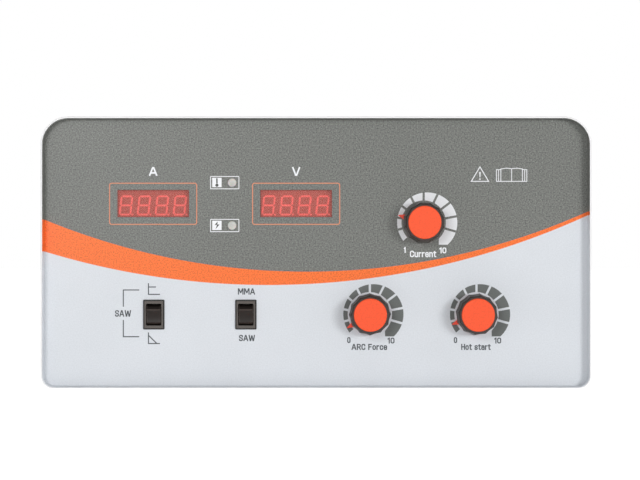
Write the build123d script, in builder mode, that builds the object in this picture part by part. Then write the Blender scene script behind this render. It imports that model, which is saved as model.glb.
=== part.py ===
"""Front control panel of a stick (MMA) and submerged-arc welding inverter.

A moulded fascia carries a printed overlay, two red display windows, two indicator lenses, three knobs on
potentiometers and two rocker switches. One circuit board behind the face holds the electronics.

Frame: X to the right seen from the front, Z up, Y into the machine. Y = 0 is the rear mounting plane, and
depths below are distances in front of that plane. X = Z = 0 is the centre of the face. Sizes are millimetres.
"""

import os
from math import cos, radians, sin, sqrt, tan

from build123d import *

# ---------------------------------------------------------------- driving dimensions
# face and fascia
face_width = 384.0
face_height = 189.0
upper_corner_radius = 18.4
lower_corner_radius = 8.5
lip_wall = 1.0
lip_depth = 8.0
recess_draft = 4.0
face_depth = 26.0
overlay_thickness = 0.5
lining_thickness = 0.3
lining_setback = 0.6
floor_thickness = 3.0
skirt_wall = 2.6
edge_gap = 0.1

# places on the face, as (x, z)
amps_display = (-114.7, 34.7)
volts_display = (-14.0, 34.7)
heat_indicator = (-59.1, 49.4)
mains_indicator = (-59.1, 19.2)
characteristic_switch = (-114.2, -43.5)
process_switch = (-49.4, -43.5)

# knobs: (x, z, direction of the pointer in degrees, anticlockwise from the right)
knob_places = {
    "current": (75.8, 21.3, 164.0),
    "arc_force": (37.9, -43.3, 211.0),
    "hot_start": (113.0, -43.3, 202.5),
}

# seven-segment display modules, four 14.2 mm digits each
module_width = 50.3
module_height = 19.0
module_thickness = 8.0
window_gap = 0.15
digit_pitch = 12.7
digit_height = 14.2
digit_width = 7.6
digit_slant = 6.5
digit_drop = 1.25
digit_shift = -0.5
stroke = 1.3
segment_depth = 0.8
module_face_depth = 21.2

# indicators
lens_radius = 3.0
led_radius = 2.5
lamp_rear = 12.6
lamp_front = 21.3

# circuit board
board_width = 300.0
board_height = 138.0
board_centre_z = -3.0
board_thickness = 1.6
board_front = 12.0
lead_pitch = 2.54
harness_header_place = (-96.0, 52.0)
supply_header_place = (96.0, 54.0)
supply_pitch = 3.96
regulator_place = (104.0, 4.0)

# potentiometers
can_radius = 12.0
can_rear = 12.6
bush_radius = 4.5
bush_front = 30.5
shaft_radius = 3.0
shaft_clearance = 0.05
shaft_front = 41.6
pot_washer = 0.7

# knobs
knob_base_radius = 14.9
knob_front_radius = 13.9
knob_back = 27.9
knob_front = 43.4
knob_flutes = 12
cap_radius = 11.55

# rocker switches
bezel_width = 15.0
bezel_height = 21.0
bezel_thickness = 2.0
bezel_step = 0.85
flange_thickness = 0.6
opening_height = 15.4
switch_body_width = 12.8
switch_body_height = 19.2
switch_body_rear = 13.0
rocker_width = 9.9
rocker_radius = 7.1
rocker_pivot = 24.0
rocker_tilt = 10.0
crest_angle = 49.3
lever_pivot = 15.9
lever_tilt = 5.4
lever_pin_radius = 0.35
plunger_radius = 1.3
plunger_reach = 6.35

# mounting inserts
insert_x = 178.0
insert_z = 80.0
middle_insert_z = 84.0
insert_radius = 3.0
insert_bore = 1.65
insert_length = 8.0

# ---------------------------------------------------------------- worked out from them
overlay_rear = face_depth - overlay_thickness
floor_rear = overlay_rear - floor_thickness
lip_front = face_depth + lip_depth
board_rear = board_front - board_thickness
displays = {"amps": amps_display, "volts": volts_display}
indicators = {"heat": heat_indicator, "mains": mains_indicator}
switches = {"characteristic": characteristic_switch, "process": process_switch}
knob_centres = [(x, z) for x, z, _ in knob_places.values()]
insert_places = [(x, z) for x in (-insert_x, insert_x) for z in (-insert_z, insert_z)]
insert_places += [(0, -middle_insert_z), (0, middle_insert_z)]
pillar_columns, pillar_rows = 4, 2
pillar_pitch_x, pillar_pitch_z = 96.0, 126.0
pillar_radius = 3.5
screw_radius = 1.5

os.makedirs("parts", exist_ok=True)


def front(depth):
    """The plane facing the user, at a distance in front of the mounting plane: local x is X, local y is Z."""
    return Plane.XZ.offset(depth)


def save(node, solid):
    """Writes one finished piece under its node's name."""
    solid.label = node
    export_step(solid, f"parts/{node}.step")


def face_outline(plane, grow):
    """The face's outline, with large upper and small lower corners, grown outwards by a distance."""
    with BuildSketch(plane) as outline:
        Rectangle(face_width + 2 * grow, face_height + 2 * grow)
        fillet(outline.vertices().group_by(Axis.Y)[-1], upper_corner_radius + grow)
        fillet(outline.vertices().group_by(Axis.Y)[0], lower_corner_radius + grow)
    return outline.sketch


def recess_outline(depth, inset=0.0):
    """The drafted recess at a depth: the face's outline at the lip's front, and less towards the face."""
    return face_outline(front(depth), (depth - lip_front) * tan(radians(recess_draft)) - inset)


# ---------------------------------------------------------------- fascia, overlay and windows
def make_fascia():
    rib_height, rib_wall = 4.0, 1.8
    with BuildPart() as fascia:
        extrude(face_outline(front(0), lip_wall), amount=lip_front)
        fillet(fascia.faces().sort_by(Axis.Y)[0].edges(), 0.5)
        loft([recess_outline(overlay_rear), recess_outline(lip_front)], ruled=True, mode=Mode.SUBTRACT)
        extrude(face_outline(front(0), lip_wall - skirt_wall), amount=floor_rear, mode=Mode.SUBTRACT)
        # stiffening ribs on the back of the floor
        with BuildSketch(front(floor_rear)):
            with Locations((0, 76), (0, -77)):
                Rectangle(face_width - 8, rib_wall)
            with Locations((-160, 0), (-88, -43), (-20, -43), (158, 0)):
                Rectangle(rib_wall, 60)
        extrude(amount=-rib_height)
        # bosses for the mounting inserts and pillars for the circuit board
        with BuildSketch(front(0)):
            with Locations(*insert_places):
                Circle(5.2)
        extrude(amount=floor_rear)
        with BuildSketch(front(board_front)):
            with Locations((0, board_centre_z)):
                with GridLocations(pillar_pitch_x, pillar_pitch_z, pillar_columns, pillar_rows):
                    Circle(pillar_radius)
        extrude(amount=floor_rear - board_front)
        # webs between the mounting bosses and the skirt
        with BuildSketch(front(4)):
            with Locations(*[(1.05 * x, z) for x, z in insert_places if x]):
                Rectangle(0.1 * insert_x - 6, rib_wall)
        extrude(amount=floor_rear - 4)
        # blind holes: inserts and board screws
        with BuildSketch(front(0)):
            with Locations(*insert_places):
                Circle(insert_radius)
        extrude(amount=insert_length + 1, mode=Mode.SUBTRACT)
        with BuildSketch(front(board_front)):
            with Locations((0, board_centre_z)):
                with GridLocations(pillar_pitch_x, pillar_pitch_z, pillar_columns, pillar_rows):
                    Circle(screw_radius)
        extrude(amount=8, mode=Mode.SUBTRACT)
        # openings through the floor
        with BuildSketch(front(floor_rear - rib_height)):
            with Locations(*displays.values()):
                Rectangle(module_width + 0.6, module_height + 0.6)
            with Locations(*indicators.values()):
                Circle(lens_radius + edge_gap)
            with Locations(*knob_centres):
                Circle(bush_radius + 0.1)
            with Locations(*switches.values()):
                Rectangle(switch_body_width + 0.2, switch_body_height + 0.2)
        extrude(amount=floor_thickness + rib_height + 1, mode=Mode.SUBTRACT)
    save("fascia", fascia.part)


def make_overlay():
    """Formed film that covers the face and turns up to line the recess's wall."""
    lining_top = lip_front - lining_setback
    inner = edge_gap + lining_thickness
    with BuildPart() as overlay:
        loft([recess_outline(overlay_rear, edge_gap), recess_outline(lining_top, edge_gap)], ruled=True)
        loft([recess_outline(face_depth, inner), recess_outline(lining_top, inner)], ruled=True,
             mode=Mode.SUBTRACT)
        with BuildSketch(front(overlay_rear)):
            with Locations(*displays.values()):
                Rectangle(module_width + 2 * window_gap, module_height + 2 * window_gap)
            with Locations(*indicators.values()):
                Circle(lens_radius + edge_gap)
            with Locations(*knob_centres):
                Circle(bush_radius + 0.3)
            with Locations(*switches.values()):
                Rectangle(switch_body_width + 0.4, switch_body_height + 0.4)
        extrude(amount=overlay_thickness, mode=Mode.SUBTRACT)
    save("overlay", overlay.part)


def make_display_window(name, place):
    """Red filter plate, pushed in from behind until its flange meets the floor."""
    flange = 2.2
    with BuildPart() as window:
        with BuildSketch(front(floor_rear)):
            with Locations(place):
                Rectangle(module_width, module_height)
        extrude(amount=floor_thickness + overlay_thickness)
        fillet(window.faces().sort_by(Axis.Y)[0].edges(), 0.2)
        with BuildSketch(front(floor_rear)):
            with Locations(place):
                RectangleRounded(module_width + 2 * flange, module_height + 2 * flange, 1)
        extrude(amount=-1)
    save(f"display_window_{name}", window.part)


# ---------------------------------------------------------------- display modules
def segment_outlines(place):
    """The outlines of four slanted digits, each of seven bars and a point, on the current sketch."""
    half_w, half_h = digit_width / 2, digit_height / 2 - stroke / 2
    lean = tan(radians(digit_slant))
    centre_z = place[1] - digit_drop
    gap = 0.18
    # each bar runs between two corners of a tall figure of eight
    bars = [
        ((-half_w, half_h), (half_w, half_h)),
        ((-half_w, 0), (half_w, 0)),
        ((-half_w, -half_h), (half_w, -half_h)),
        ((-half_w, 0), (-half_w, half_h)),
        ((half_w, 0), (half_w, half_h)),
        ((-half_w, -half_h), (-half_w, 0)),
        ((half_w, -half_h), (half_w, 0)),
    ]
    for digit in range(4):
        centre_x = place[0] + (digit - 1.5) * digit_pitch + digit_shift
        for (x0, z0), (x1, z1) in bars:
            along_x, along_z = (1, 0) if z0 == z1 else (0, 1)
            side_x, side_z = along_z * stroke / 2, along_x * stroke / 2
            tip, shoulder = gap, gap + stroke / 2
            corners = [
                (x0 + along_x * tip, z0 + along_z * tip),
                (x0 + along_x * shoulder + side_x, z0 + along_z * shoulder + side_z),
                (x1 - along_x * shoulder + side_x, z1 - along_z * shoulder + side_z),
                (x1 - along_x * tip, z1 - along_z * tip),
                (x1 - along_x * shoulder - side_x, z1 - along_z * shoulder - side_z),
                (x0 + along_x * shoulder - side_x, z0 + along_z * shoulder - side_z),
            ]
            slanted = [(centre_x + x + z * lean, centre_z + z) for x, z in corners]
            Polygon(*slanted, align=None)
        with Locations((centre_x + half_w + 1.5 - half_h * lean, centre_z - half_h)):
            Circle(0.7)


def make_display_module(name, place):
    """The module's case, with a light bar in each segment's pocket."""
    module_rear = module_face_depth - module_thickness
    with BuildPart() as case:
        with BuildSketch(front(module_rear)):
            with Locations(place):
                Rectangle(module_width, module_height)
        extrude(amount=module_thickness)
        chamfer(case.faces().sort_by(Axis.Y)[-1].edges(), 0.4)
        with BuildSketch(front(module_face_depth)):
            segment_outlines(place)
        extrude(amount=-segment_depth, mode=Mode.SUBTRACT)
        # stand-off nubs that keep the case clear of the board
        with BuildSketch(front(module_rear)):
            with Locations(place):
                with GridLocations(module_width - 5, module_height - 11, 2, 2):
                    Circle(1)
        extrude(amount=board_front - module_rear)
    save(f"display_module_{name}", case.part)
    with BuildPart() as bars:
        with BuildSketch(front(module_face_depth)):
            segment_outlines(place)
        extrude(amount=-segment_depth)
    save(f"display_segments_{name}", bars.part)


# ---------------------------------------------------------------- indicators
def make_indicator_lens(name, place):
    """A frosted lens in the face, with a flange behind the floor."""
    with BuildPart() as lens:
        with BuildSketch(front(floor_rear)):
            with Locations(place):
                Circle(lens_radius)
        extrude(amount=floor_thickness + overlay_thickness + 0.3)
        fillet(lens.edges().group_by(Axis.Y)[0], 0.25)
        with BuildSketch(front(floor_rear)):
            with Locations(place):
                Circle(lens_radius + 1.2)
        extrude(amount=-0.8)
    save(f"indicator_lens_{name}", lens.part)


def make_indicator_lamps():
    """The round lamps that light the lenses, standing on the circuit board."""
    with BuildPart() as lamps:
        with BuildSketch(front(lamp_rear)):
            with Locations(*indicators.values()):
                Circle(led_radius + 0.4)
        extrude(amount=1)
        with BuildSketch(front(lamp_rear + 1)):
            with Locations(*indicators.values()):
                Circle(led_radius)
        extrude(amount=lamp_front - lamp_rear - 1)
        fillet(lamps.edges().filter_by(GeomType.CIRCLE).group_by(Axis.Y)[0], led_radius - 0.1)
    save("indicator_lamps", lamps.part)


# ---------------------------------------------------------------- circuit board and what is soldered to it
def display_lead_places():
    return [(x + (column - 2.5) * lead_pitch, z + row * 3 * lead_pitch)
            for x, z in displays.values() for column in range(6) for row in (-1, 1)]


def lamp_lead_places():
    return [(x + side * lead_pitch / 2, z) for x, z in indicators.values() for side in (-1, 1)]


def pot_terminal_places():
    return [(x + side * 5.0, z - 15.5) for x, z in knob_centres for side in (-1, 0, 1)]


def switch_terminal_places():
    return [(x, z + side * 6.6) for x, z in switches.values() for side in (-1, 0, 1)]


def header_pin_places():
    x, z = harness_header_place
    signal = [(x + (column - 4.5) * lead_pitch, z + side * lead_pitch / 2)
              for column in range(10) for side in (-1, 1)]
    x, z = supply_header_place
    return signal, [(x + (column - 1.5) * supply_pitch, z) for column in range(4)]


def make_board():
    signal_pins, supply_pins = header_pin_places()
    with BuildPart() as board:
        with BuildSketch(front(board_rear)):
            with Locations((0, board_centre_z)):
                RectangleRounded(board_width, board_height, 3)
                with GridLocations(pillar_pitch_x, pillar_pitch_z, pillar_columns, pillar_rows):
                    Circle(screw_radius + 0.2, mode=Mode.SUBTRACT)
            with Locations(*display_lead_places(), *lamp_lead_places(), *signal_pins):
                Circle(0.45, mode=Mode.SUBTRACT)
            with Locations(*supply_pins):
                Circle(0.75, mode=Mode.SUBTRACT)
            with Locations(*pot_terminal_places()):
                Circle(0.75, mode=Mode.SUBTRACT)
            with Locations(*switch_terminal_places()):
                Rectangle(5.2, 1.2, mode=Mode.SUBTRACT)
        extrude(amount=board_thickness)
    save("circuit_board", board.part)


def make_leads_and_pins():
    """Tinned leads of the displays and lamps, and the pins of both headers, through the board."""
    signal_pins, supply_pins = header_pin_places()
    lead_rear = board_rear - 1.2
    with BuildPart() as leads:
        with BuildSketch(front(lead_rear)):
            with Locations(*display_lead_places()):
                Rectangle(0.5, 0.5)
        extrude(amount=module_face_depth - module_thickness - lead_rear)
        with BuildSketch(front(lead_rear)):
            with Locations(*lamp_lead_places()):
                Rectangle(0.5, 0.5)
        extrude(amount=lamp_rear - lead_rear)
        with BuildSketch(front(board_front + 1.0)):
            with Locations(*signal_pins):
                Rectangle(0.6, 0.6)
        extrude(amount=-10.2)
        with BuildSketch(front(board_front + 1.0)):
            with Locations(*supply_pins):
                Rectangle(1.0, 1.0)
        extrude(amount=-10.8)
    save("leads_and_pins", leads.part)


def make_board_screws_and_washers():
    """The screws that hold the board, with their washers, and the washers under the pots' nuts."""
    head_height, head_radius, washer = 2.0, 2.8, 0.5
    seat = board_rear - washer
    with BuildPart() as washers:
        with BuildSketch(front(seat)):
            with Locations((0, board_centre_z)):
                with GridLocations(pillar_pitch_x, pillar_pitch_z, pillar_columns, pillar_rows):
                    Circle(3.5)
                    Circle(screw_radius + 0.1, mode=Mode.SUBTRACT)
        extrude(amount=washer)
        with BuildSketch(front(face_depth)):
            with Locations(*knob_centres):
                Circle(7.4)
                Circle(bush_radius + 0.1, mode=Mode.SUBTRACT)
        extrude(amount=pot_washer)
    save("washers", washers.part)
    with BuildPart() as screws:
        with BuildSketch(front(seat)):
            with Locations((0, board_centre_z)):
                with GridLocations(pillar_pitch_x, pillar_pitch_z, pillar_columns, pillar_rows):
                    Circle(screw_radius)
        extrude(amount=9)
        with BuildSketch(front(seat)):
            with Locations((0, board_centre_z)):
                with GridLocations(pillar_pitch_x, pillar_pitch_z, pillar_columns, pillar_rows):
                    Circle(head_radius)
        extrude(amount=-head_height)
        fillet(screws.edges().filter_by(GeomType.CIRCLE).group_by(Axis.Y)[-1], 0.8)
        with BuildSketch(front(seat - head_height)):
            with Locations((0, board_centre_z)):
                with GridLocations(pillar_pitch_x, pillar_pitch_z, pillar_columns, pillar_rows):
                    Rectangle(2.8, 0.7)
                    Rectangle(0.7, 2.8)
        extrude(amount=1.2, mode=Mode.SUBTRACT)
    save("board_screws", screws.part)


def make_board_components():
    """The parts on the rear of the board, all standing clear of the mounting plane."""
    processor_place = (-66.0, -4.0)
    driver_places = [(-114.7, 16.0), (-14.0, 12.0)]
    capacitor_places = {(66.0, 50.0): 4.0, (124.0, 52.0): 4.0, (66.0, 36.0): 3.15, (134.0, 36.0): 3.15}
    trimmer_places = [(23.0 + 9.0 * i, 40.0) for i in range(4)]
    with BuildPart() as chips:
        with BuildSketch(front(board_rear)):
            with Locations(processor_place):
                Rectangle(14, 14)
        extrude(amount=-1.4)
        with BuildSketch(front(board_rear)):
            with Locations(*driver_places):
                Rectangle(17.9, 7.5)
        extrude(amount=-2.3)
        chamfer(chips.faces().group_by(Axis.Y)[-1].edges(), 0.3)
    save("integrated_circuits", chips.part)
    with BuildPart() as capacitors:
        for (x, z), radius in capacitor_places.items():
            with BuildSketch(front(board_rear)):
                with Locations((x, z)):
                    Circle(radius)
            extrude(amount=-8.6)
        fillet(capacitors.edges().filter_by(GeomType.CIRCLE).group_by(Axis.Y)[-1], 0.5)
    save("electrolytic_capacitors", capacitors.part)
    with BuildPart() as trimmers:
        with BuildSketch(front(board_rear)):
            with Locations(*trimmer_places):
                Rectangle(4.8, 9.5)
        extrude(amount=-9.0)
        fillet(trimmers.edges().filter_by(Axis.Y), 0.3)
        with BuildSketch(front(board_rear - 9.0)):
            with Locations(*[(x, z + 3.2) for x, z in trimmer_places]):
                Circle(1.15)
                Rectangle(1.8, 0.5, mode=Mode.SUBTRACT)
        extrude(amount=-0.5)
    save("trimmers", trimmers.part)
    make_headers()
    make_regulator()


def make_headers():
    """A shrouded 20-way harness header and a four-way supply header, with their pins."""
    signal_pins, supply_pins = header_pin_places()
    with BuildPart() as shroud:
        with BuildSketch(front(board_rear)):
            with Locations(harness_header_place):
                Rectangle(33.5, 8.9)
        extrude(amount=-9.0)
        with BuildSketch(front(board_rear - 2.2)):
            with Locations(harness_header_place):
                Rectangle(31.3, 6.5)
            with Locations((harness_header_place[0], harness_header_place[1] - 3.6)):
                Rectangle(4.5, 2.4)
        extrude(amount=-7.0, mode=Mode.SUBTRACT)
        with BuildSketch(front(board_rear - 2.2)):
            with Locations(*signal_pins):
                Rectangle(0.64, 0.64)
        extrude(amount=2.2, mode=Mode.SUBTRACT)
    save("harness_header", shroud.part)
    with BuildPart() as wafer:
        with BuildSketch(front(board_rear)):
            with Locations(supply_header_place):
                Rectangle(16.2, 8.5)
        extrude(amount=-3.2)
        with BuildSketch(front(board_rear - 3.2)):
            with Locations((supply_header_place[0], supply_header_place[1] + 3.65)):
                Rectangle(13.0, 1.2)
        extrude(amount=-5.6)
        with BuildSketch(front(board_rear)):
            with Locations(*supply_pins):
                Rectangle(1.14, 1.14)
        extrude(amount=-3.2, mode=Mode.SUBTRACT)
    save("supply_header", wafer.part)


def make_regulator():
    """A flat power regulator clamped to a finned heat sink."""
    x, z = regulator_place
    with BuildPart() as sink:
        with BuildSketch(front(board_rear)):
            with Locations((x, z)):
                Rectangle(30, 25)
        extrude(amount=-1.8)
        with BuildSketch(front(board_rear - 1.8)):
            for offset_x in (-14.4, -11.6, -8.8, 8.8, 11.6, 14.4):
                with Locations((x + offset_x, z)):
                    Rectangle(1.2, 25)
        extrude(amount=-6.4)
    save("heat_sink", sink.part)
    with BuildPart() as regulator:
        with BuildSketch(front(board_rear - 1.8)):
            with Locations((x, z + 3)):
                Rectangle(10, 15)
        extrude(amount=-1.3)
        with BuildSketch(front(board_rear - 3.1)):
            with Locations((x, z)):
                Rectangle(10, 9)
        extrude(amount=-3.2)
        with BuildSketch(front(board_rear - 1.8)):
            with Locations((x, z + 7.5)):
                Circle(1.8)
        extrude(amount=-2, mode=Mode.SUBTRACT)
    save("voltage_regulator", regulator.part)


# ---------------------------------------------------------------- potentiometers
def make_pot_bodies():
    """The fixed parts of the three potentiometers, each kind as one node of three solids."""
    plate = 1.2
    with BuildPart() as bushes:
        with BuildSketch(front(floor_rear)):
            with Locations(*knob_centres):
                Circle(can_radius - 0.6)
        extrude(amount=-plate)
        with BuildSketch(front(floor_rear)):
            with Locations(*knob_centres):
                Circle(bush_radius)
        extrude(amount=bush_front - floor_rear)
        chamfer(bushes.edges().filter_by(GeomType.CIRCLE).group_by(Axis.Y)[0], 0.4)
        with BuildSketch(front(floor_rear - plate)):
            with Locations(*knob_centres):
                Circle(shaft_radius + shaft_clearance)
        extrude(amount=bush_front - floor_rear + plate, mode=Mode.SUBTRACT)
    save("pot_bushes", bushes.part)
    with BuildPart() as cans:
        with BuildSketch(front(can_rear)):
            with Locations(*knob_centres):
                Circle(can_radius)
        extrude(amount=floor_rear - 0.2 - can_rear)
        fillet(cans.edges().filter_by(GeomType.CIRCLE).group_by(Axis.Y)[-1], 0.8)
        with BuildSketch(front(can_rear + 0.6)):
            with Locations(*knob_centres):
                Circle(can_radius - 0.6)
        extrude(amount=12, mode=Mode.SUBTRACT)
        # slot that the terminals come out of
        with BuildSketch(front(can_rear + 2.0)):
            with Locations(*[(x, z - can_radius) for x, z in knob_centres]):
                Rectangle(13, 6)
        extrude(amount=2.0, mode=Mode.SUBTRACT)
    save("pot_cans", cans.part)
    with BuildPart() as tracks:
        with BuildSketch(front(can_rear + 0.6)):
            with Locations(*knob_centres):
                Circle(can_radius - 0.8)
                Circle(3.6, mode=Mode.SUBTRACT)
        extrude(amount=1.6)
    save("pot_tracks", tracks.part)
    with BuildPart() as terminals:
        # a flat tongue on the track, led out through the slot and down through the board
        tongue = can_rear + 2.2
        with BuildSketch(front(tongue)):
            with Locations(*[(x, z + 4.05) for x, z in pot_terminal_places()]):
                Rectangle(1.3, 9.3)
        extrude(amount=0.6)
        with BuildSketch(front(tongue + 0.6)):
            with Locations(*pot_terminal_places()):
                Rectangle(1.3, 0.6)
        extrude(amount=-(tongue + 0.6 - board_rear + 1.2))
    save("pot_terminals", terminals.part)
    with BuildPart() as nuts:
        with BuildSketch(front(face_depth + pot_washer)):
            with Locations(*knob_centres):
                RegularPolygon(6.0, 6, major_radius=False)
                Circle(bush_radius, mode=Mode.SUBTRACT)
        extrude(amount=2.4)
    save("pot_nuts", nuts.part)


def make_pot_shaft(name, x, z, pointer):
    """The turning shaft, and the wiper carrier that it drives inside the can."""
    hub_rear, hub_front = 17.4, 20.6
    with BuildPart() as shaft:
        with BuildSketch(front(can_rear + 1.0)):
            with Locations((x, z)):
                Circle(shaft_radius)
        extrude(amount=shaft_front - can_rear - 1.0)
        chamfer(shaft.edges().group_by(Axis.Y)[0], 0.4)
    save(f"shaft_{name}", shaft.part)
    with BuildPart() as wiper:
        with BuildSketch(front(hub_rear)):
            with Locations(Location((x, z), pointer)):
                Circle(7)
                with Locations((8.2, 0)):
                    Rectangle(4, 3)
                Circle(shaft_radius, mode=Mode.SUBTRACT)
        extrude(amount=hub_front - hub_rear)
        # sprung contact finger, reaching down to the track
        with BuildSketch(front(can_rear + 2.3)):
            with Locations(Location((x, z), pointer)):
                with Locations((8.2, 0)):
                    Rectangle(2.4, 2.0)
        extrude(amount=hub_rear - can_rear - 2.3)
    save(f"wiper_{name}", wiper.part)


# ---------------------------------------------------------------- knobs
def flute_outline(plane, x, z, turn, radius):
    """A round outline with shallow flutes, whose points lie on the given radius."""
    half_pitch = radians(180 / knob_flutes)
    flute_radius = 1.68 * radius
    centre = radius * cos(half_pitch) + sqrt(flute_radius**2 - (radius * sin(half_pitch)) ** 2)
    with BuildSketch(plane) as outline:
        with Locations(Location((x, z), turn)):
            Circle(radius)
            with PolarLocations(centre, knob_flutes, start_angle=180 / knob_flutes):
                Circle(flute_radius, mode=Mode.SUBTRACT)
    return outline.sketch


def make_knob(name, x, z, pointer):
    """A collet knob: fluted body, arrow ring, brass collet and nut, and the coloured cap."""
    nut_pocket_radius, collet_radius = 9.2, 4.6
    pocket_floor = knob_front - 3.6
    collet_front = pocket_floor + 1.6
    with BuildPart() as body:
        loft([
            flute_outline(front(knob_back), x, z, pointer, knob_base_radius),
            flute_outline(front(knob_front - 1.2), x, z, pointer, knob_front_radius),
        ])
        loft([
            flute_outline(front(knob_front - 1.2), x, z, pointer, knob_front_radius),
            flute_outline(front(knob_front), x, z, pointer, knob_front_radius - 1.0),
        ])
        with BuildSketch(front(knob_back)):
            with Locations((x, z)):
                Circle(nut_pocket_radius)
        extrude(amount=4.0, mode=Mode.SUBTRACT)
        with BuildSketch(front(knob_back)):
            with Locations((x, z)):
                Circle(collet_radius)
        extrude(amount=knob_front - knob_back, mode=Mode.SUBTRACT)
        with BuildSketch(front(pocket_floor)):
            with Locations((x, z)):
                Circle(nut_pocket_radius)
        extrude(amount=4, mode=Mode.SUBTRACT)
        with BuildSketch(front(knob_front - 0.8)):
            with Locations((x, z)):
                Circle(cap_radius + 0.05)
        extrude(amount=2, mode=Mode.SUBTRACT)
    save(f"knob_{name}", body.part)
    with BuildPart() as ring:
        with BuildSketch(front(knob_back - 1.0)):
            with Locations(Location((x, z), pointer)):
                Circle(13.6)
                Polygon((12.6, 2.3), (18.6, 0.25), (18.6, -0.25), (12.6, -2.3), align=None)
                Circle(nut_pocket_radius, mode=Mode.SUBTRACT)
        extrude(amount=1.0)
    save(f"pointer_ring_{name}", ring.part)
    with BuildPart() as collet:
        with BuildSketch(front(knob_back + 4.4)):
            with Locations((x, z)):
                Circle(collet_radius)
                Circle(shaft_radius, mode=Mode.SUBTRACT)
        extrude(amount=collet_front - knob_back - 4.4)
        with BuildSketch(front(knob_back + 8)):
            with Locations(Location((x, z), pointer)):
                Rectangle(0.6, 12)
                Rectangle(12, 0.6)
        extrude(amount=collet_front - knob_back - 8, mode=Mode.SUBTRACT)
    save(f"collet_{name}", collet.part)
    with BuildPart() as nut:
        with BuildSketch(front(pocket_floor)):
            with Locations(Location((x, z), pointer)):
                RegularPolygon(6.2, 6, major_radius=False)
                Circle(collet_radius, mode=Mode.SUBTRACT)
        extrude(amount=1.8)
    save(f"collet_nut_{name}", nut.part)
    with BuildPart() as cap:
        with BuildSketch(front(knob_front - 0.8)):
            with Locations((x, z)):
                Circle(cap_radius)
        extrude(amount=1.6)
        fillet(cap.edges().group_by(Axis.Y)[0], 0.7)
        with BuildSketch(front(knob_front - 0.8)):
            with Locations((x, z)):
                Circle(nut_pocket_radius)
                Circle(nut_pocket_radius - 0.9, mode=Mode.SUBTRACT)
        extrude(amount=-1.8)
    save(f"knob_cap_{name}", cap.part)


# ---------------------------------------------------------------- rocker switches
def make_switch_housing(name, place):
    """Bezel and body in one moulding, open at the front for the rocker."""
    side_wall, end_wall = 0.95, 0.9
    opening_width = switch_body_width - 2 * side_wall
    cavity_height = switch_body_height - 2 * end_wall
    rear_wall = 1.2
    with BuildPart() as housing:
        with BuildSketch(front(face_depth)):
            with Locations(place):
                RectangleRounded(bezel_width, bezel_height, 0.7)
        extrude(amount=flange_thickness)
        with BuildSketch(front(face_depth)):
            with Locations(place):
                RectangleRounded(bezel_width - 2 * bezel_step, bezel_height - 2 * bezel_step, 0.5)
        extrude(amount=bezel_thickness)
        chamfer(housing.faces().sort_by(Axis.Y)[0].edges(), 0.3)
        with BuildSketch(front(switch_body_rear)):
            with Locations(place):
                Rectangle(switch_body_width, switch_body_height)
        extrude(amount=face_depth - switch_body_rear)
        with BuildSketch(front(switch_body_rear + rear_wall)):
            with Locations(place):
                Rectangle(opening_width, cavity_height)
        extrude(amount=face_depth - switch_body_rear - rear_wall - 0.6, mode=Mode.SUBTRACT)
        with BuildSketch(front(switch_body_rear + rear_wall)):
            with Locations(place):
                RectangleRounded(opening_width, opening_height, 0.8)
        extrude(amount=face_depth + bezel_thickness - switch_body_rear, mode=Mode.SUBTRACT)
        # bearing holes for the rocker's pins, and slots for the terminals
        with BuildSketch(Plane.YZ.offset(place[0] - switch_body_width / 2)):
            with Locations((-rocker_pivot, place[1])):
                Circle(1.25)
        extrude(amount=switch_body_width, mode=Mode.SUBTRACT)
        with BuildSketch(front(switch_body_rear)):
            with Locations(*[(place[0], place[1] + side * 6.6) for side in (-1, 0, 1)]):
                Rectangle(4.8, 0.8)
        extrude(amount=rear_wall, mode=Mode.SUBTRACT)
    save(f"switch_housing_{name}", housing.part)


def tilted_about_pivot(solid, place, depth, angle):
    """The solid turned about the X axis through (place, depth): positive brings its top to the front."""
    pivot = Axis((place[0], -depth, place[1]), (1, 0, 0))
    return solid.rotate(pivot, angle)


def make_rocker(name, place):
    """The rocker with its pins and stem, drawn level and then tilted to where it rests: top proud."""
    crest = (rocker_radius * cos(radians(crest_angle)), rocker_radius * sin(radians(crest_angle)))
    skirt_angle = radians(-22)
    skirt = (rocker_radius * cos(skirt_angle), rocker_radius * sin(skirt_angle))
    # side plane: local x is Z, local y is the distance in front of the pivot
    side = Plane(origin=(place[0], -rocker_pivot, place[1]), x_dir=(0, 0, 1), z_dir=(1, 0, 0))
    with BuildPart() as rocker:
        with BuildSketch(side):
            with BuildLine():
                ThreePointArc((-crest[0], crest[1]), (0, crest[1] - 0.9), crest)
                ThreePointArc(crest, (rocker_radius, 0), skirt)
                Line(skirt, (-skirt[0], skirt[1]))
                ThreePointArc((-skirt[0], skirt[1]), (-rocker_radius, 0), (-crest[0], crest[1]))
            make_face()
        extrude(amount=rocker_width / 2, both=True)
        fillet(rocker.edges().group_by(Axis.Y)[0], 0.5)
        with BuildSketch(side):
            Circle(1.2)
        extrude(amount=rocker_width / 2 + 1.1, both=True)
        with BuildSketch(front(rocker_pivot + skirt[1])):
            with Locations(place):
                Circle(2.2)
        extrude(amount=-1.9)
        with BuildSketch(front(rocker_pivot + skirt[1] - 1.9)):
            with Locations(place):
                Circle(1.4)
        extrude(amount=4.4, mode=Mode.SUBTRACT)
    save(f"rocker_{name}", tilted_about_pivot(rocker.part, place, rocker_pivot, rocker_tilt))


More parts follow.
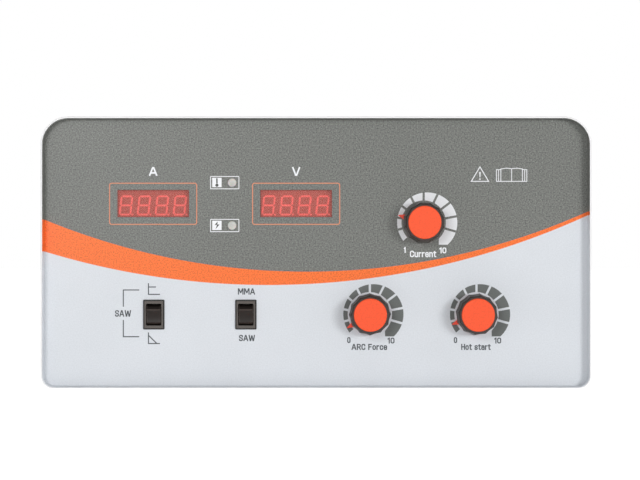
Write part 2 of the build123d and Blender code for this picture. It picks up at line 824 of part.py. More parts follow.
def make_plunger_and_spring(name, place):
    """The round-ended plunger in the rocker's stem, and the compression spring behind it."""
    plunger_length, wire_radius, spring_pitch, spring_turns = 3.4, 0.15, 0.53, 4.5
    with BuildPart() as plunger:
        with BuildSketch(front(rocker_pivot - plunger_reach)):
            with Locations(place):
                Circle(plunger_radius)
        extrude(amount=plunger_length)
        with Locations((place[0], plunger_reach - rocker_pivot, place[1])):
            Sphere(plunger_radius)
    save(f"plunger_{name}", tilted_about_pivot(plunger.part, place, rocker_pivot, rocker_tilt))
    coil_radius = plunger_radius - wire_radius - 0.1
    seat = rocker_pivot - plunger_reach + plunger_length + wire_radius + 0.02
    with BuildPart() as spring:
        with BuildLine():
            coil = Helix(spring_pitch, spring_pitch * spring_turns, coil_radius,
                         center=(place[0], -seat, place[1]), direction=(0, -1, 0))
        with BuildSketch(Plane(origin=coil @ 0, z_dir=coil % 0)):
            Circle(wire_radius)
        sweep(path=coil)
    save(f"plunger_spring_{name}", tilted_about_pivot(spring.part, place, rocker_pivot, rocker_tilt))


def make_contact_lever(name, place):
    """See-saw contact plate with a round fulcrum bar across it, tilted against the rocker."""
    with BuildPart() as lever:
        with BuildSketch(front(lever_pivot - 0.25)):
            with Locations(place):
                Rectangle(3.4, 11)
        extrude(amount=0.5)
        fillet(lever.edges().filter_by(Axis.Y), 0.5)
        with BuildSketch(Plane.YZ.offset(place[0] - 1.7)):
            with Locations((-lever_pivot, place[1])):
                Circle(lever_pin_radius)
        extrude(amount=3.4)
    save(f"contact_lever_{name}", tilted_about_pivot(lever.part, place, lever_pivot, -lever_tilt))


def make_switch_terminals():
    """Three blades per switch: the outer two end in fixed contacts, the middle one in the lever's fulcrum."""
    inside = switch_body_rear + 1.2
    with BuildPart() as blades:
        with BuildSketch(front(board_rear - 4.0)):
            with Locations(*switch_terminal_places()):
                Rectangle(4.8, 0.8)
        extrude(amount=inside - board_rear + 4.0)
        with BuildSketch(front(inside)):
            with Locations(*[(x, z + side * 5.6) for x, z in switches.values() for side in (-1, 1)]):
                Rectangle(4.0, 3.0)
        extrude(amount=0.85)
        with BuildSketch(front(inside)):
            with Locations(*switches.values()):
                Rectangle(4.0, 0.6)
        extrude(amount=lever_pivot - lever_pin_radius - 0.01 - inside)
    save("switch_terminals", blades.part)


# ---------------------------------------------------------------- mounting inserts
def make_mounting_inserts():
    """Knurled brass inserts, flush with the rear mounting plane."""
    with BuildPart() as inserts:
        with BuildSketch(front(0)):
            with Locations(*insert_places):
                Circle(insert_radius)
                Circle(insert_bore, mode=Mode.SUBTRACT)
        extrude(amount=insert_length)
    save("mounting_inserts", inserts.part)


make_fascia()
make_overlay()
for name, place in displays.items():
    make_display_window(name, place)
    make_display_module(name, place)
for name, place in indicators.items():
    make_indicator_lens(name, place)
make_indicator_lamps()
make_board()
make_leads_and_pins()
make_board_screws_and_washers()
make_board_components()
make_pot_bodies()
for name, (x, z, pointer) in knob_places.items():
    make_pot_shaft(name, x, z, pointer)
    make_knob(name, x, z, pointer)
for name, place in switches.items():
    make_switch_housing(name, place)
    make_rocker(name, place)
    make_plunger_and_spring(name, place)
    make_contact_lever(name, place)
make_switch_terminals()
make_mounting_inserts()
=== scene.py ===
"""Finishes, printing and board details for the control panel of a welding inverter.

X runs to the right as the user sees the panel, Z up, and Y into the machine. Sizes are metres.
"""

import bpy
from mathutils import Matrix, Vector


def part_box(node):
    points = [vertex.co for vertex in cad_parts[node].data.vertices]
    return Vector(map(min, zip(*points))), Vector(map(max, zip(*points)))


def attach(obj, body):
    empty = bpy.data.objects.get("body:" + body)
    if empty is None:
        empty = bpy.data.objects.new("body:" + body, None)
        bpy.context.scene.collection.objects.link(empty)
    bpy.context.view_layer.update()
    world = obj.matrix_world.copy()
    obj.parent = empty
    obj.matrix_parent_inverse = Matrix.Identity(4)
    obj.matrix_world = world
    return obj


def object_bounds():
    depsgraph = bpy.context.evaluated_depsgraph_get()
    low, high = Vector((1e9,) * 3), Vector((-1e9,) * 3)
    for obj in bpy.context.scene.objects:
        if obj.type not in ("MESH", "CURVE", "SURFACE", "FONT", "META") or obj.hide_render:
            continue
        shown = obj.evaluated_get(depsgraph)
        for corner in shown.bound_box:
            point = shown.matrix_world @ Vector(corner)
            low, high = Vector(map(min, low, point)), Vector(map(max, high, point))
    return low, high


bl_info = {
    "name": "Welder control panel",
    "version": (1, 0, 0),
    "blender": (4, 5, 0),
    "location": "View3D > Sidebar > Control panel",
    "description": "Finishes, printing and board details for a welding inverter's control panel",
    "category": "Object",
}

from functools import cache
from math import atan2, cos, pi, radians, sin

import bmesh
import bpy
from bpy.props import FloatProperty, FloatVectorProperty, IntProperty, PointerProperty
from bpy.types import Operator, Panel, PropertyGroup
from mathutils import Matrix, Vector

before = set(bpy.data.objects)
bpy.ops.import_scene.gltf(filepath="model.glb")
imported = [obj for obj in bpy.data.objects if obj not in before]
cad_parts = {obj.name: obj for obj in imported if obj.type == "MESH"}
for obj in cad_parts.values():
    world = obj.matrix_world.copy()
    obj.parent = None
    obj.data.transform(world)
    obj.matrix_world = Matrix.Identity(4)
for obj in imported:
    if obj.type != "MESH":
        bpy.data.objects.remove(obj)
cad_low, cad_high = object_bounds()

MM = 0.001
PANEL = "panel"
KNOBS = ("current", "arc_force", "hot_start")
SWITCHES = ("characteristic", "process")
DISPLAYS = ("amps", "volts")


def middle(node):
    """The centre of a node's box."""
    low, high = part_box(node)
    return (low + high) / 2


def flat_middle(low, high):
    """The middle of a box as the user sees it, as (x, z)."""
    return (low.x + high.x) / 2, (low.z + high.z) / 2


FACE_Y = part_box("display_window_amps")[0].y
BOARD_REAR_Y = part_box("circuit_board")[1].y


def linear(red, green, blue):
    """A screen colour, 0 to 255, as the linear values that shaders use."""
    channels = [value / 255 for value in (red, green, blue)]
    return tuple(c / 12.92 if c <= 0.04045 else ((c + 0.055) / 1.055) ** 2.4 for c in channels)


def length(name, description, millimetres):
    return FloatProperty(name=name, description=description, default=millimetres * MM, unit="LENGTH")


def colour(name, description, red, green, blue):
    return FloatVectorProperty(name=name, description=description, subtype="COLOR", size=3, min=0, max=1,
                               default=linear(red, green, blue))


# ---------------------------------------------------------------- settings
class PrintSettings(PropertyGroup):
    """The film's printing."""

    ink: length("Ink", "Thickness of the printed ink", 0.03)
    line: length("Fine line", "Width of the grey line work", 0.75)
    frame_line: length("Frame line", "Width of the lines round displays and lamps", 0.65)
    symbol_line: length("Symbol line", "Width of the symbols' lines", 0.55)
    display_frame_width: length("Display frame width", "Outside width of the frame round a display", 62.0)
    display_frame_height: length("Display frame height", "Outside height of the frame round a display", 29.6)
    lamp_frame_width: length("Lamp frame width", "Outside width of the frame round a lamp", 20.5)
    lamp_frame_height: length("Lamp frame height", "Outside height of the frame round a lamp", 9.2)
    pictogram: length("Pictogram", "Side of the white square under a pictogram", 6.6)
    sweep_top_radius: length("Sweep top radius", "Radius of the coloured sweep's upper edge", 483.9)
    sweep_top_x: length("Sweep top X", "Where the centre of that edge lies across the panel", -6.5)
    sweep_top_low: length("Sweep top low point", "Height of that edge's lowest point", -13.3)
    sweep_foot_radius: length("Sweep foot radius", "Radius of the coloured sweep's lower edge", 539.0)
    sweep_foot_x: length("Sweep foot X", "Where the centre of that edge lies across the panel", -33.4)
    sweep_foot_low: length("Sweep foot low point", "Height of that edge's lowest point", -22.7)
    dial_inner: length("Dial inner radius", "Inner radius of a dial's crescent", 15.6)
    dial_outer: length("Dial outer radius", "Radius of a dial's outer circle", 21.2)
    dial_offset: length("Dial offset", "How far the outer circle sits to the right of the knob", 2.5)
    dial_cut: length("Dial cut", "How far right of the knob the last segment starts", 10.7)
    dial_gap: length("Dial gap", "Width of the gap between two segments", 1.6)
    dial_start: FloatProperty(name="Dial start", description="Direction of the dial's start",
                              subtype="ANGLE", default=radians(222))
    dial_step: FloatProperty(name="Dial step", description="Angle from one segment to the next",
                             subtype="ANGLE", default=radians(26.4))
    dial_segments: IntProperty(name="Dial segments", description="Number of segments", default=10, min=2)


class ColourSettings(PropertyGroup):
    """The colours of what shows."""

    field_dark: colour("Dark field", "The film's speckled upper field", 114, 116, 112)
    sweep: colour("Sweep", "The film's coloured sweep", 243, 113, 46)
    field_light: colour("Light field", "The film's lower field", 212, 216, 221)
    ink_white: colour("White ink", "Lettering on the dark field", 236, 237, 240)
    ink_grey: colour("Grey ink", "Lettering on the light field", 74, 79, 83)
    dial_grey: colour("Dial grey", "Dial segments on the light field", 96, 100, 98)
    frame_orange: colour("Frame orange", "Lines round the displays", 218, 138, 102)
    window: colour("Display window", "Red filter over the displays", 186, 113, 104)
    module: colour("Module face", "Face of a display module", 214, 92, 80)
    segment: colour("Segments", "Light bars behind the filter", 250, 98, 94)
    cap: colour("Knob cap", "Cap of a control knob", 245, 80, 28)
    pointer: colour("Pointer", "Arrow of a control knob", 255, 82, 58)
    knob: colour("Knob", "Body of a control knob", 54, 46, 41)
    bezel: colour("Bezel", "Rim of a rocker switch", 83, 77, 72)
    rocker: colour("Rocker", "Rocker of a switch", 40, 34, 31)
    case: colour("Case", "Moulded fascia", 240, 240, 241)
    board: colour("Board", "Solder mask of the circuit board", 18, 92, 52)


class StageSettings(PropertyGroup):
    """The camera and the studio."""

    distance: length("Distance", "From the camera to the panel's face", 1500.0)
    frame_width: length("Frame width", "Width that the camera takes in at the face", 450.7)
    centre_x: length("Centre X", "Where the camera looks, across the panel", 2.8)
    centre_z: length("Centre Z", "Where the camera looks, up the panel", 9.0)
    key_power: FloatProperty(name="Key", description="Power of the key light, from the right", default=46.0)
    fill_power: FloatProperty(name="Fill", description="Power of the fill light, from the left", default=9.0)
    room: FloatProperty(name="Room", description="Strength of the room's even light", default=0.27)


# ---------------------------------------------------------------- node trees, each shared one made once
class Nodes:
    """Adds nodes to a tree and wires them, so that a tree reads as a list of steps."""

    def __init__(self, tree):
        self.tree = tree

    def put(self, socket, value):
        if isinstance(value, bpy.types.NodeSocket):
            self.tree.links.new(value, socket)
        else:
            socket.default_value = value

    def add(self, kind, inputs=None, **settings):
        node = self.tree.nodes.new(kind)
        for name, value in settings.items():
            setattr(node, name, value)
        for name, value in (inputs or {}).items():
            self.put(node.inputs[name], value)
        return node

    def math(self, operation, *values, clamp=False):
        node = self.add("ShaderNodeMath", operation=operation, use_clamp=clamp)
        for socket, value in zip(node.inputs, values):
            self.put(socket, value)
        return node.outputs[0]

    def vector(self, operation, *values, out=0):
        node = self.add("ShaderNodeVectorMath", operation=operation)
        for socket, value in zip(node.inputs, values):
            self.put(socket, value)
        return node.outputs[out]

    def mix(self, factor, first, second):
        """Mixes two colours."""
        node = self.add("ShaderNodeMix", data_type="RGBA")
        for index, value in ((0, factor), (6, first), (7, second)):
            if not isinstance(value, bpy.types.NodeSocket) and index:
                value = (*value, 1)
            self.put(node.inputs[index], value)
        return node.outputs[2]

    def ramp(self, value, low, high):
        """0 where the value is below low, 1 above high, and straight between."""
        node = self.add("ShaderNodeMapRange", {"Value": value, "From Min": low, "From Max": high})
        return node.outputs[0]

    def noise(self, place, size, detail=2.0, roughness=0.5):
        """Noise whose features are about the given size."""
        scale = self.math("DIVIDE", 1.0, size) if isinstance(size, bpy.types.NodeSocket) else 1 / size
        inputs = {"Vector": place, "Scale": scale, "Detail": detail, "Roughness": roughness}
        return self.add("ShaderNodeTexNoise", inputs).outputs["Fac"]


def shader_group(name, inputs, outputs):
    """An empty shader group with named sockets.

    Returns the group, its nodes, its input sockets and its output node.
    """
    tree = bpy.data.node_groups.new(name, "ShaderNodeTree")
    for label, (kind, default) in inputs.items():
        socket = tree.interface.new_socket(name=label, in_out="INPUT", socket_type=kind)
        if default is not None:
            socket.default_value = default
    for label, kind in outputs.items():
        tree.interface.new_socket(name=label, in_out="OUTPUT", socket_type=kind)
    nodes = Nodes(tree)
    return tree, nodes, nodes.add("NodeGroupInput").outputs, nodes.add("NodeGroupOutput")


@cache
def grain_group():
    """Fine moulded grain as a height, slow mottling, and dulled patches from handling."""
    tree, nodes, given, out = shader_group(
        "Moulded grain",
        {"Place": ("NodeSocketVector", None), "Grain size": ("NodeSocketFloat", 0.0004),
         "Mottle size": ("NodeSocketFloat", 0.03)},
        {"Height": "NodeSocketFloat", "Mottle": "NodeSocketFloat", "Dull": "NodeSocketFloat"})
    place, mottle_size = given["Place"], given["Mottle size"]
    fine = nodes.noise(place, given["Grain size"], detail=3, roughness=0.6)
    slow = nodes.noise(place, mottle_size, detail=3)
    worn = nodes.noise(place, nodes.math("DIVIDE", mottle_size, 2.7), detail=5, roughness=0.7)
    nodes.put(out.inputs["Height"], fine)
    nodes.put(out.inputs["Mottle"], nodes.ramp(slow, 0.3, 0.7))
    nodes.put(out.inputs["Dull"], nodes.ramp(worn, 0.42, 0.75))
    return tree


@cache
def speckle_group():
    """Speckled ink: a value round one that lightens and darkens a printed colour."""
    tree, nodes, given, out = shader_group(
        "Ink speckle",
        {"Place": ("NodeSocketVector", None), "Size": ("NodeSocketFloat", 0.0009),
         "Amount": ("NodeSocketFloat", 0.3)},
        {"Value": "NodeSocketFloat", "Height": "NodeSocketFloat"})
    noise = nodes.noise(given["Place"], given["Size"], detail=4, roughness=0.75)
    centred = nodes.math("SUBTRACT", noise, 0.5)
    nodes.put(out.inputs["Value"], nodes.math("MULTIPLY_ADD", centred, given["Amount"], 1.0))
    nodes.put(out.inputs["Height"], noise)
    return tree


@cache
def metal_group():
    """Drawn or plated metal: streaks that change the roughness, and tarnish that darkens the colour."""
    tree, nodes, given, out = shader_group(
        "Metal streaks",
        {"Place": ("NodeSocketVector", None), "Streak": ("NodeSocketFloat", 0.0003)},
        {"Roughness": "NodeSocketFloat", "Tarnish": "NodeSocketFloat", "Height": "NodeSocketFloat"})
    stretched = nodes.vector("MULTIPLY", given["Place"], (1.0, 0.12, 1.0))
    streaks = nodes.noise(stretched, given["Streak"], detail=3)
    patches = nodes.noise(given["Place"], 0.004, detail=4, roughness=0.65)
    nodes.put(out.inputs["Roughness"], nodes.math("MULTIPLY_ADD", streaks, 0.22, 0.20))
    nodes.put(out.inputs["Tarnish"], nodes.ramp(patches, 0.45, 0.8))
    nodes.put(out.inputs["Height"], streaks)
    return tree


def effect(nodes, maker, place, **inputs):
    """Places a shared shader group in a material."""
    node = nodes.add("ShaderNodeGroup", node_tree=maker())
    nodes.put(node.inputs["Place"], place)
    for label, value in inputs.items():
        nodes.put(node.inputs[label.replace("_", " ").capitalize()], value)
    return node.outputs


# ---------------------------------------------------------------- materials
TIN = linear(212, 211, 205)
ZINC = linear(196, 199, 204)
BRASS = linear(214, 182, 110)


def new_material(name):
    """A material with its nodes, its shader, and the place in the piece's own coordinates."""
    material = bpy.data.materials.new(name)
    material.use_nodes = True
    nodes = Nodes(material.node_tree)
    shader = material.node_tree.nodes["Principled BSDF"]
    return material, nodes, shader, nodes.add("ShaderNodeTexCoord").outputs["Object"]


def bump(nodes, shader, height, distance):
    node = nodes.add("ShaderNodeBump", {"Height": height, "Strength": 1.0, "Distance": distance})
    nodes.put(shader.inputs["Normal"], node.outputs[0])


def shade(rgb, factor):
    return tuple(min(1.0, channel * factor) for channel in rgb)


def plastic(name, rgb, roughness=0.5, grain=0.4, depth=0.012, mottle=0.06, patch=30.0):
    """Moulded plastic with spark-eroded grain, faint flow mottling and patches dulled by handling."""
    material, nodes, shader, place = new_material(name)
    grains = effect(nodes, grain_group, place, grain_size=grain * MM, mottle_size=patch * MM)
    tone = nodes.mix(grains["Mottle"], shade(rgb, 1 - mottle), shade(rgb, 1 + mottle))
    nodes.put(shader.inputs["Base Color"], tone)
    nodes.put(shader.inputs["Roughness"], nodes.math("MULTIPLY_ADD", grains["Dull"], 0.14, roughness))
    bump(nodes, shader, grains["Height"], depth * MM)
    return material


def switch_plastic(rgb, front_y):
    """A switch's black plastic: the bezel's colour on the rim that stands proud, and near black on the flange
    behind it.
    """
    material, nodes, shader, place = new_material("Switch housing")
    grains = effect(nodes, grain_group, place, grain_size=0.3 * MM)
    y = nodes.add("ShaderNodeSeparateXYZ", {"Vector": place}).outputs["Y"]
    # 1 on the proud rim, which takes the bezel's colour; near black further back on the flange
    rim = nodes.math("SUBTRACT", 1.0, nodes.ramp(y, front_y + 0.25 * MM, front_y + 1.3 * MM))
    worn = nodes.mix(grains["Mottle"], shade(rgb, 0.92), shade(rgb, 1.08))
    nodes.put(shader.inputs["Base Color"], nodes.mix(rim, linear(24, 24, 25), worn))
    nodes.put(shader.inputs["Roughness"], nodes.math("MULTIPLY_ADD", grains["Dull"], 0.14, 0.42))
    bump(nodes, shader, grains["Height"], 0.008 * MM)
    return material


def rocker_plastic(name, rgb):
    """A rocker's plastic, with painted shade above its crest and painted highlights on the crest, the foot
    and the sides.
    """
    centre, half_width = middle(f"switch_housing_{name}"), 4.95 * MM
    crest_up, foot_up = 3.4 * MM, -5.2 * MM
    material, nodes, shader, place = new_material(f"Rocker plastic {name}")
    grains = effect(nodes, grain_group, place, grain_size=0.3 * MM)
    here = nodes.add("ShaderNodeSeparateXYZ", {"Vector": place}).outputs
    up = nodes.math("SUBTRACT", here["Z"], centre.z)
    across = nodes.math("ABSOLUTE", nodes.math("SUBTRACT", here["X"], centre.x))
    # painted shade: the part above the crest is darkened as if the bezel's upper wall shaded it
    painted_shade_above_crest = nodes.ramp(up, crest_up + 0.2 * MM, crest_up + 0.9 * MM)
    off_crest = nodes.math("ABSOLUTE", nodes.math("SUBTRACT", up, crest_up))
    # painted highlights: paler lines along the crest and the foot, and paler sides
    on_crest = nodes.math("SUBTRACT", 1.0, nodes.ramp(off_crest, 0.15 * MM, 0.6 * MM))
    on_foot = nodes.math("SUBTRACT", 1.0, nodes.ramp(up, foot_up - 1.1 * MM, foot_up))
    crest, foot = nodes.math("MULTIPLY", on_crest, 0.7), nodes.math("MULTIPLY", on_foot, 0.6)
    sides = nodes.math("MULTIPLY", nodes.ramp(across, half_width - 0.9 * MM, half_width - 0.2 * MM), 0.4)
    painted_highlights = nodes.math("MAXIMUM", crest, nodes.math("MAXIMUM", foot, sides))
    mottled = nodes.mix(grains["Mottle"], shade(rgb, 0.9), shade(rgb, 1.1))
    tone = nodes.mix(painted_shade_above_crest, mottled, shade(rgb, 0.4))
    nodes.put(shader.inputs["Base Color"], nodes.mix(painted_highlights, tone, shade(rgb, 3.4)))
    shader.inputs["Specular IOR Level"].default_value = 0.25
    nodes.put(shader.inputs["Roughness"], nodes.math("MULTIPLY_ADD", grains["Dull"], 0.14, 0.36))
    bump(nodes, shader, grains["Height"], 0.008 * MM)
    return material


def metal(name, rgb, polish=0.0, streak=0.3):
    """Plated or turned metal with fine streaks and a little tarnish."""
    material, nodes, shader, place = new_material(name)
    streaks = effect(nodes, metal_group, place, streak=streak * MM)
    nodes.put(shader.inputs["Base Color"], nodes.mix(streaks["Tarnish"], rgb, shade(rgb, 0.72)))
    nodes.put(shader.inputs["Roughness"], nodes.math("SUBTRACT", streaks["Roughness"], polish, clamp=True))
    shader.inputs["Metallic"].default_value = 1.0
    bump(nodes, shader, streaks["Height"], 0.004 * MM)
    return material


def ink(name, rgb, amount=0.1):
    """Screen-printed ink with the film's grain under it."""
    material, nodes, shader, place = new_material(name)
    speckle = effect(nodes, speckle_group, place, amount=amount)
    toned = nodes.add("ShaderNodeHueSaturation", {"Color": (*rgb, 1), "Value": speckle["Value"]})
    nodes.put(shader.inputs["Base Color"], toned.outputs[0])
    shader.inputs["Roughness"].default_value = 0.55
    bump(nodes, shader, speckle["Height"], 0.01 * MM)
    return material


def below_arc(nodes, place, x, low, radius):
    """1 on the side of a wide arc away from its centre, which lies above its lowest point."""
    flat = nodes.vector("MULTIPLY", place, (1, 0, 1))
    reach = nodes.vector("DISTANCE", flat, (x, 0, low + radius), out=1)
    return nodes.ramp(reach, radius - 0.1 * MM, radius + 0.1 * MM)


def printed_film(sizes, colours):
    """The overlay: a speckled dark field, a coloured sweep and a light field, on textured film."""
    material, nodes, shader, place = new_material("Printed film")
    under_top = below_arc(nodes, place, sizes.sweep_top_x, sizes.sweep_top_low, sizes.sweep_top_radius)
    under_foot = below_arc(nodes, place, sizes.sweep_foot_x, sizes.sweep_foot_low, sizes.sweep_foot_radius)
    upper = nodes.mix(under_top, colours.field_dark, colours.sweep)
    printed = nodes.mix(under_foot, upper, colours.field_light)
    dark_speckle, sweep_speckle, light_share = 3.7, 2.3, 0.15
    coarse = nodes.math("MULTIPLY_ADD", under_top, sweep_speckle - dark_speckle, dark_speckle)
    coarse = nodes.math("MULTIPLY", coarse, nodes.math("MULTIPLY_ADD", under_foot, light_share - 1.0, 1.0))
    speckle = effect(nodes, speckle_group, place, size=1.0 * MM, amount=coarse)
    cloudy = nodes.ramp(nodes.noise(place, 0.05, detail=3), 0.25, 0.75)
    value = nodes.math("MULTIPLY", speckle["Value"], nodes.math("MULTIPLY_ADD", cloudy, 0.05, 0.975))
    toned = nodes.add("ShaderNodeHueSaturation", {"Color": printed, "Value": value})
    nodes.put(shader.inputs["Base Color"], toned.outputs[0])
    nodes.put(shader.inputs["Roughness"], nodes.math("MULTIPLY_ADD", speckle["Height"], 0.16, 0.3))
    shader.inputs["Specular IOR Level"].default_value = 0.4
    bump(nodes, shader, speckle["Height"], 0.03 * MM)
    return material


def window_film(colours):
    """The red filter: a see-through red with the film's grain over it."""
    material, nodes, shader, place = new_material("Red window")
    speckle = effect(nodes, speckle_group, place, size=1.1 * MM, amount=1.3)
    toned = nodes.add("ShaderNodeHueSaturation", {"Color": (*colours.window, 1), "Value": speckle["Value"]})
    nodes.put(shader.inputs["Base Color"], toned.outputs[0])
    nodes.put(shader.inputs["Alpha"], nodes.math("MULTIPLY_ADD", speckle["Height"], 0.3, 0.14))
    shader.inputs["Roughness"].default_value = 0.5
    bump(nodes, shader, speckle["Height"], 0.03 * MM)
    return material


def segment_diffuser(colours):
    """Light bars: tinted epoxy with a painted glow, an emission that stands in for the light that enters the
    window.
    """
    material, nodes, shader, place = new_material("Segment epoxy")
    clouds = nodes.ramp(nodes.noise(place, 1.2 * MM, detail=3), 0.25, 0.75)
    tone = nodes.mix(clouds, shade(colours.segment, 0.86), shade(colours.segment, 1.08))
    nodes.put(shader.inputs["Base Color"], tone)
    # painted glow: the bars are not lit, and this emission stands in for the light that the window lets
    # through
    nodes.put(shader.inputs["Emission Color"], tone)
    shader.inputs["Emission Strength"].default_value = 0.7
    shader.inputs["Roughness"].default_value = 0.4
    return material


def frosted_lens():
    """Frosted lens: pale, a little milky, with fine pits."""
    material, nodes, shader, place = new_material("Frosted lens")
    grains = effect(nodes, grain_group, place, grain_size=0.25 * MM, mottle_size=0.004)
    pale = linear(196, 195, 190)
    nodes.put(shader.inputs["Base Color"], nodes.mix(grains["Mottle"], shade(pale, 0.86), shade(pale, 1.1)))
    shader.inputs["Roughness"].default_value = 0.38
    shader.inputs["Subsurface Weight"].default_value = 0.3
    shader.inputs["Subsurface Scale"].default_value = 1.0 * MM
    bump(nodes, shader, grains["Height"], 0.02 * MM)
    return material


def solder_mask(colours):
    """Board laminate under green mask, with the weave faintly showing."""
    material, nodes, shader, place = new_material("Solder mask")
    grains = effect(nodes, grain_group, place, grain_size=0.3 * MM, mottle_size=0.05)
    weave = nodes.add("ShaderNodeTexBrick", {"Vector": nodes.vector("MULTIPLY", place, (1, 0, 1)),
                                             "Scale": 1 / (1.6 * MM), "Mortar Size": 0.06})
    base = nodes.mix(grains["Mottle"], shade(colours.board, 0.86), shade(colours.board, 1.14))
    woven = nodes.mix(nodes.math("MULTIPLY", weave.outputs["Fac"], 0.25), base, shade(colours.board, 0.6))
    nodes.put(shader.inputs["Base Color"], woven)
    shader.inputs["Roughness"].default_value = 0.32
    shader.inputs["Coat Weight"].default_value = 0.4
    bump(nodes, shader, grains["Height"], 0.006 * MM)
    return material


# ---------------------------------------------------------------- pieces
def finish(material, *nodes):
    """Gives CAD nodes a material."""
    for name in nodes:
        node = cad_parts[name]
        if not node.material_slots:
            node.data.materials.append(None)
        for slot in node.material_slots:
            slot.material = material


def piece(name, mesh, material, body=PANEL):
    """A finished piece at the origin, riding on a body."""
    mesh.name = name
    mesh.materials.clear()
    mesh.materials.append(material)
    obj = bpy.data.objects.new(name, mesh)
    bpy.context.scene.collection.objects.link(obj)
    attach(obj, body)
    return obj


def rounded_outline(width, height, radius, centre=(0, 0), steps=5):
    """A rounded rectangle's points, anticlockwise."""
    points = []
    for quarter, (side_x, side_z) in enumerate(((1, 1), (-1, 1), (-1, -1), (1, -1))):
        corner_x = centre[0] + side_x * (width / 2 - radius)
        corner_z = centre[1] + side_z * (height / 2 - radius)
        for step in range(steps + 1):
            angle = (quarter + step / steps) * pi / 2
            points.append((corner_x + radius * cos(angle), corner_z + radius * sin(angle)))
    return points


def circle_outline(radius, centre=(0, 0), steps=24):
    return [(centre[0] + radius * cos(2 * pi * i / steps), centre[1] + radius * sin(2 * pi * i / steps))
            for i in range(steps)]


class Sheet:
    """A flat drawing on a plane across Y, made of polygons, frames and strokes.

    It faces the front where facing is -1, and the rear where it is 1.
    """

    def __init__(self, depth, facing=-1):
        self.mesh = bmesh.new()
        self.depth = depth
        self.facing = facing
        self.strokes = 0

    def corner(self, point):
        return self.mesh.verts.new((point[0], self.depth + self.facing * 0.001 * MM * self.strokes, point[1]))

    def polygon(self, points):
        self.mesh.faces.new([self.corner(p) for p in points])

    def band(self, outer, inner):
        """The band between two outlines that have the same number of points."""
        outside, inside = [self.corner(p) for p in outer], [self.corner(p) for p in inner]
        for i in range(len(outer)):
            j = (i + 1) % len(outer)
            self.mesh.faces.new((outside[i], outside[j], inside[j], inside[i]))

    def frame(self, width, height, radius, line, centre):
        self.band(rounded_outline(width, height, radius, centre),
                  rounded_outline(width - 2 * line, height - 2 * line, max(radius - line, 0.1 * MM), centre))

    def stroke(self, points, width, closed=False):
        """A line of even width along the points, with mitred corners. Each line lies a hair over the last."""
        self.strokes += 1
        count = len(points)
        sides = []
        for i, (x, z) in enumerate(points):
            before = points[i - 1] if i or closed else None
            after = points[(i + 1) % count] if i < count - 1 or closed else None
            angles = []
            if before:
                angles.append(atan2(z - before[1], x - before[0]))
            if after:
                angles.append(atan2(after[1] - z, after[0] - x))
            turn = (angles[-1] - angles[0] + pi) % (2 * pi) - pi
            across = angles[0] + turn / 2 + pi / 2
            reach = width / 2 / cos(turn / 2)
            sides.append(((x + reach * cos(across), z + reach * sin(across)),
                          (x - reach * cos(across), z - reach * sin(across))))
        rows = [(self.corner(left), self.corner(right)) for left, right in sides]
        for i in range(count if closed else count - 1):
            (a, b), (c, d) = rows[i], rows[(i + 1) % count]
            self.mesh.faces.new((a, b, d, c))

    def printed(self, name, material, thickness, slot="printed_film"):
        """The drawing as a piece of ink that stands a hair proud of the film."""
        bmesh.ops.recalc_face_normals(self.mesh, faces=self.mesh.faces)
        self.mesh.normal_update()
        backward = [face for face in self.mesh.faces if face.normal.y * self.facing < 0]
        bmesh.ops.reverse_faces(self.mesh, faces=backward)
        mesh = bpy.data.meshes.new(name)
        self.mesh.to_mesh(mesh)
        self.mesh.free()
        return thicken(piece(name, mesh, material), thickness)


def thicken(obj, thickness):
    """Gives a flat sheet its thickness, towards the way that it faces."""
    solid = obj.modifiers.new("Thickness", "SOLIDIFY")
    solid.thickness = thickness
    solid.offset = 1.0
    return obj


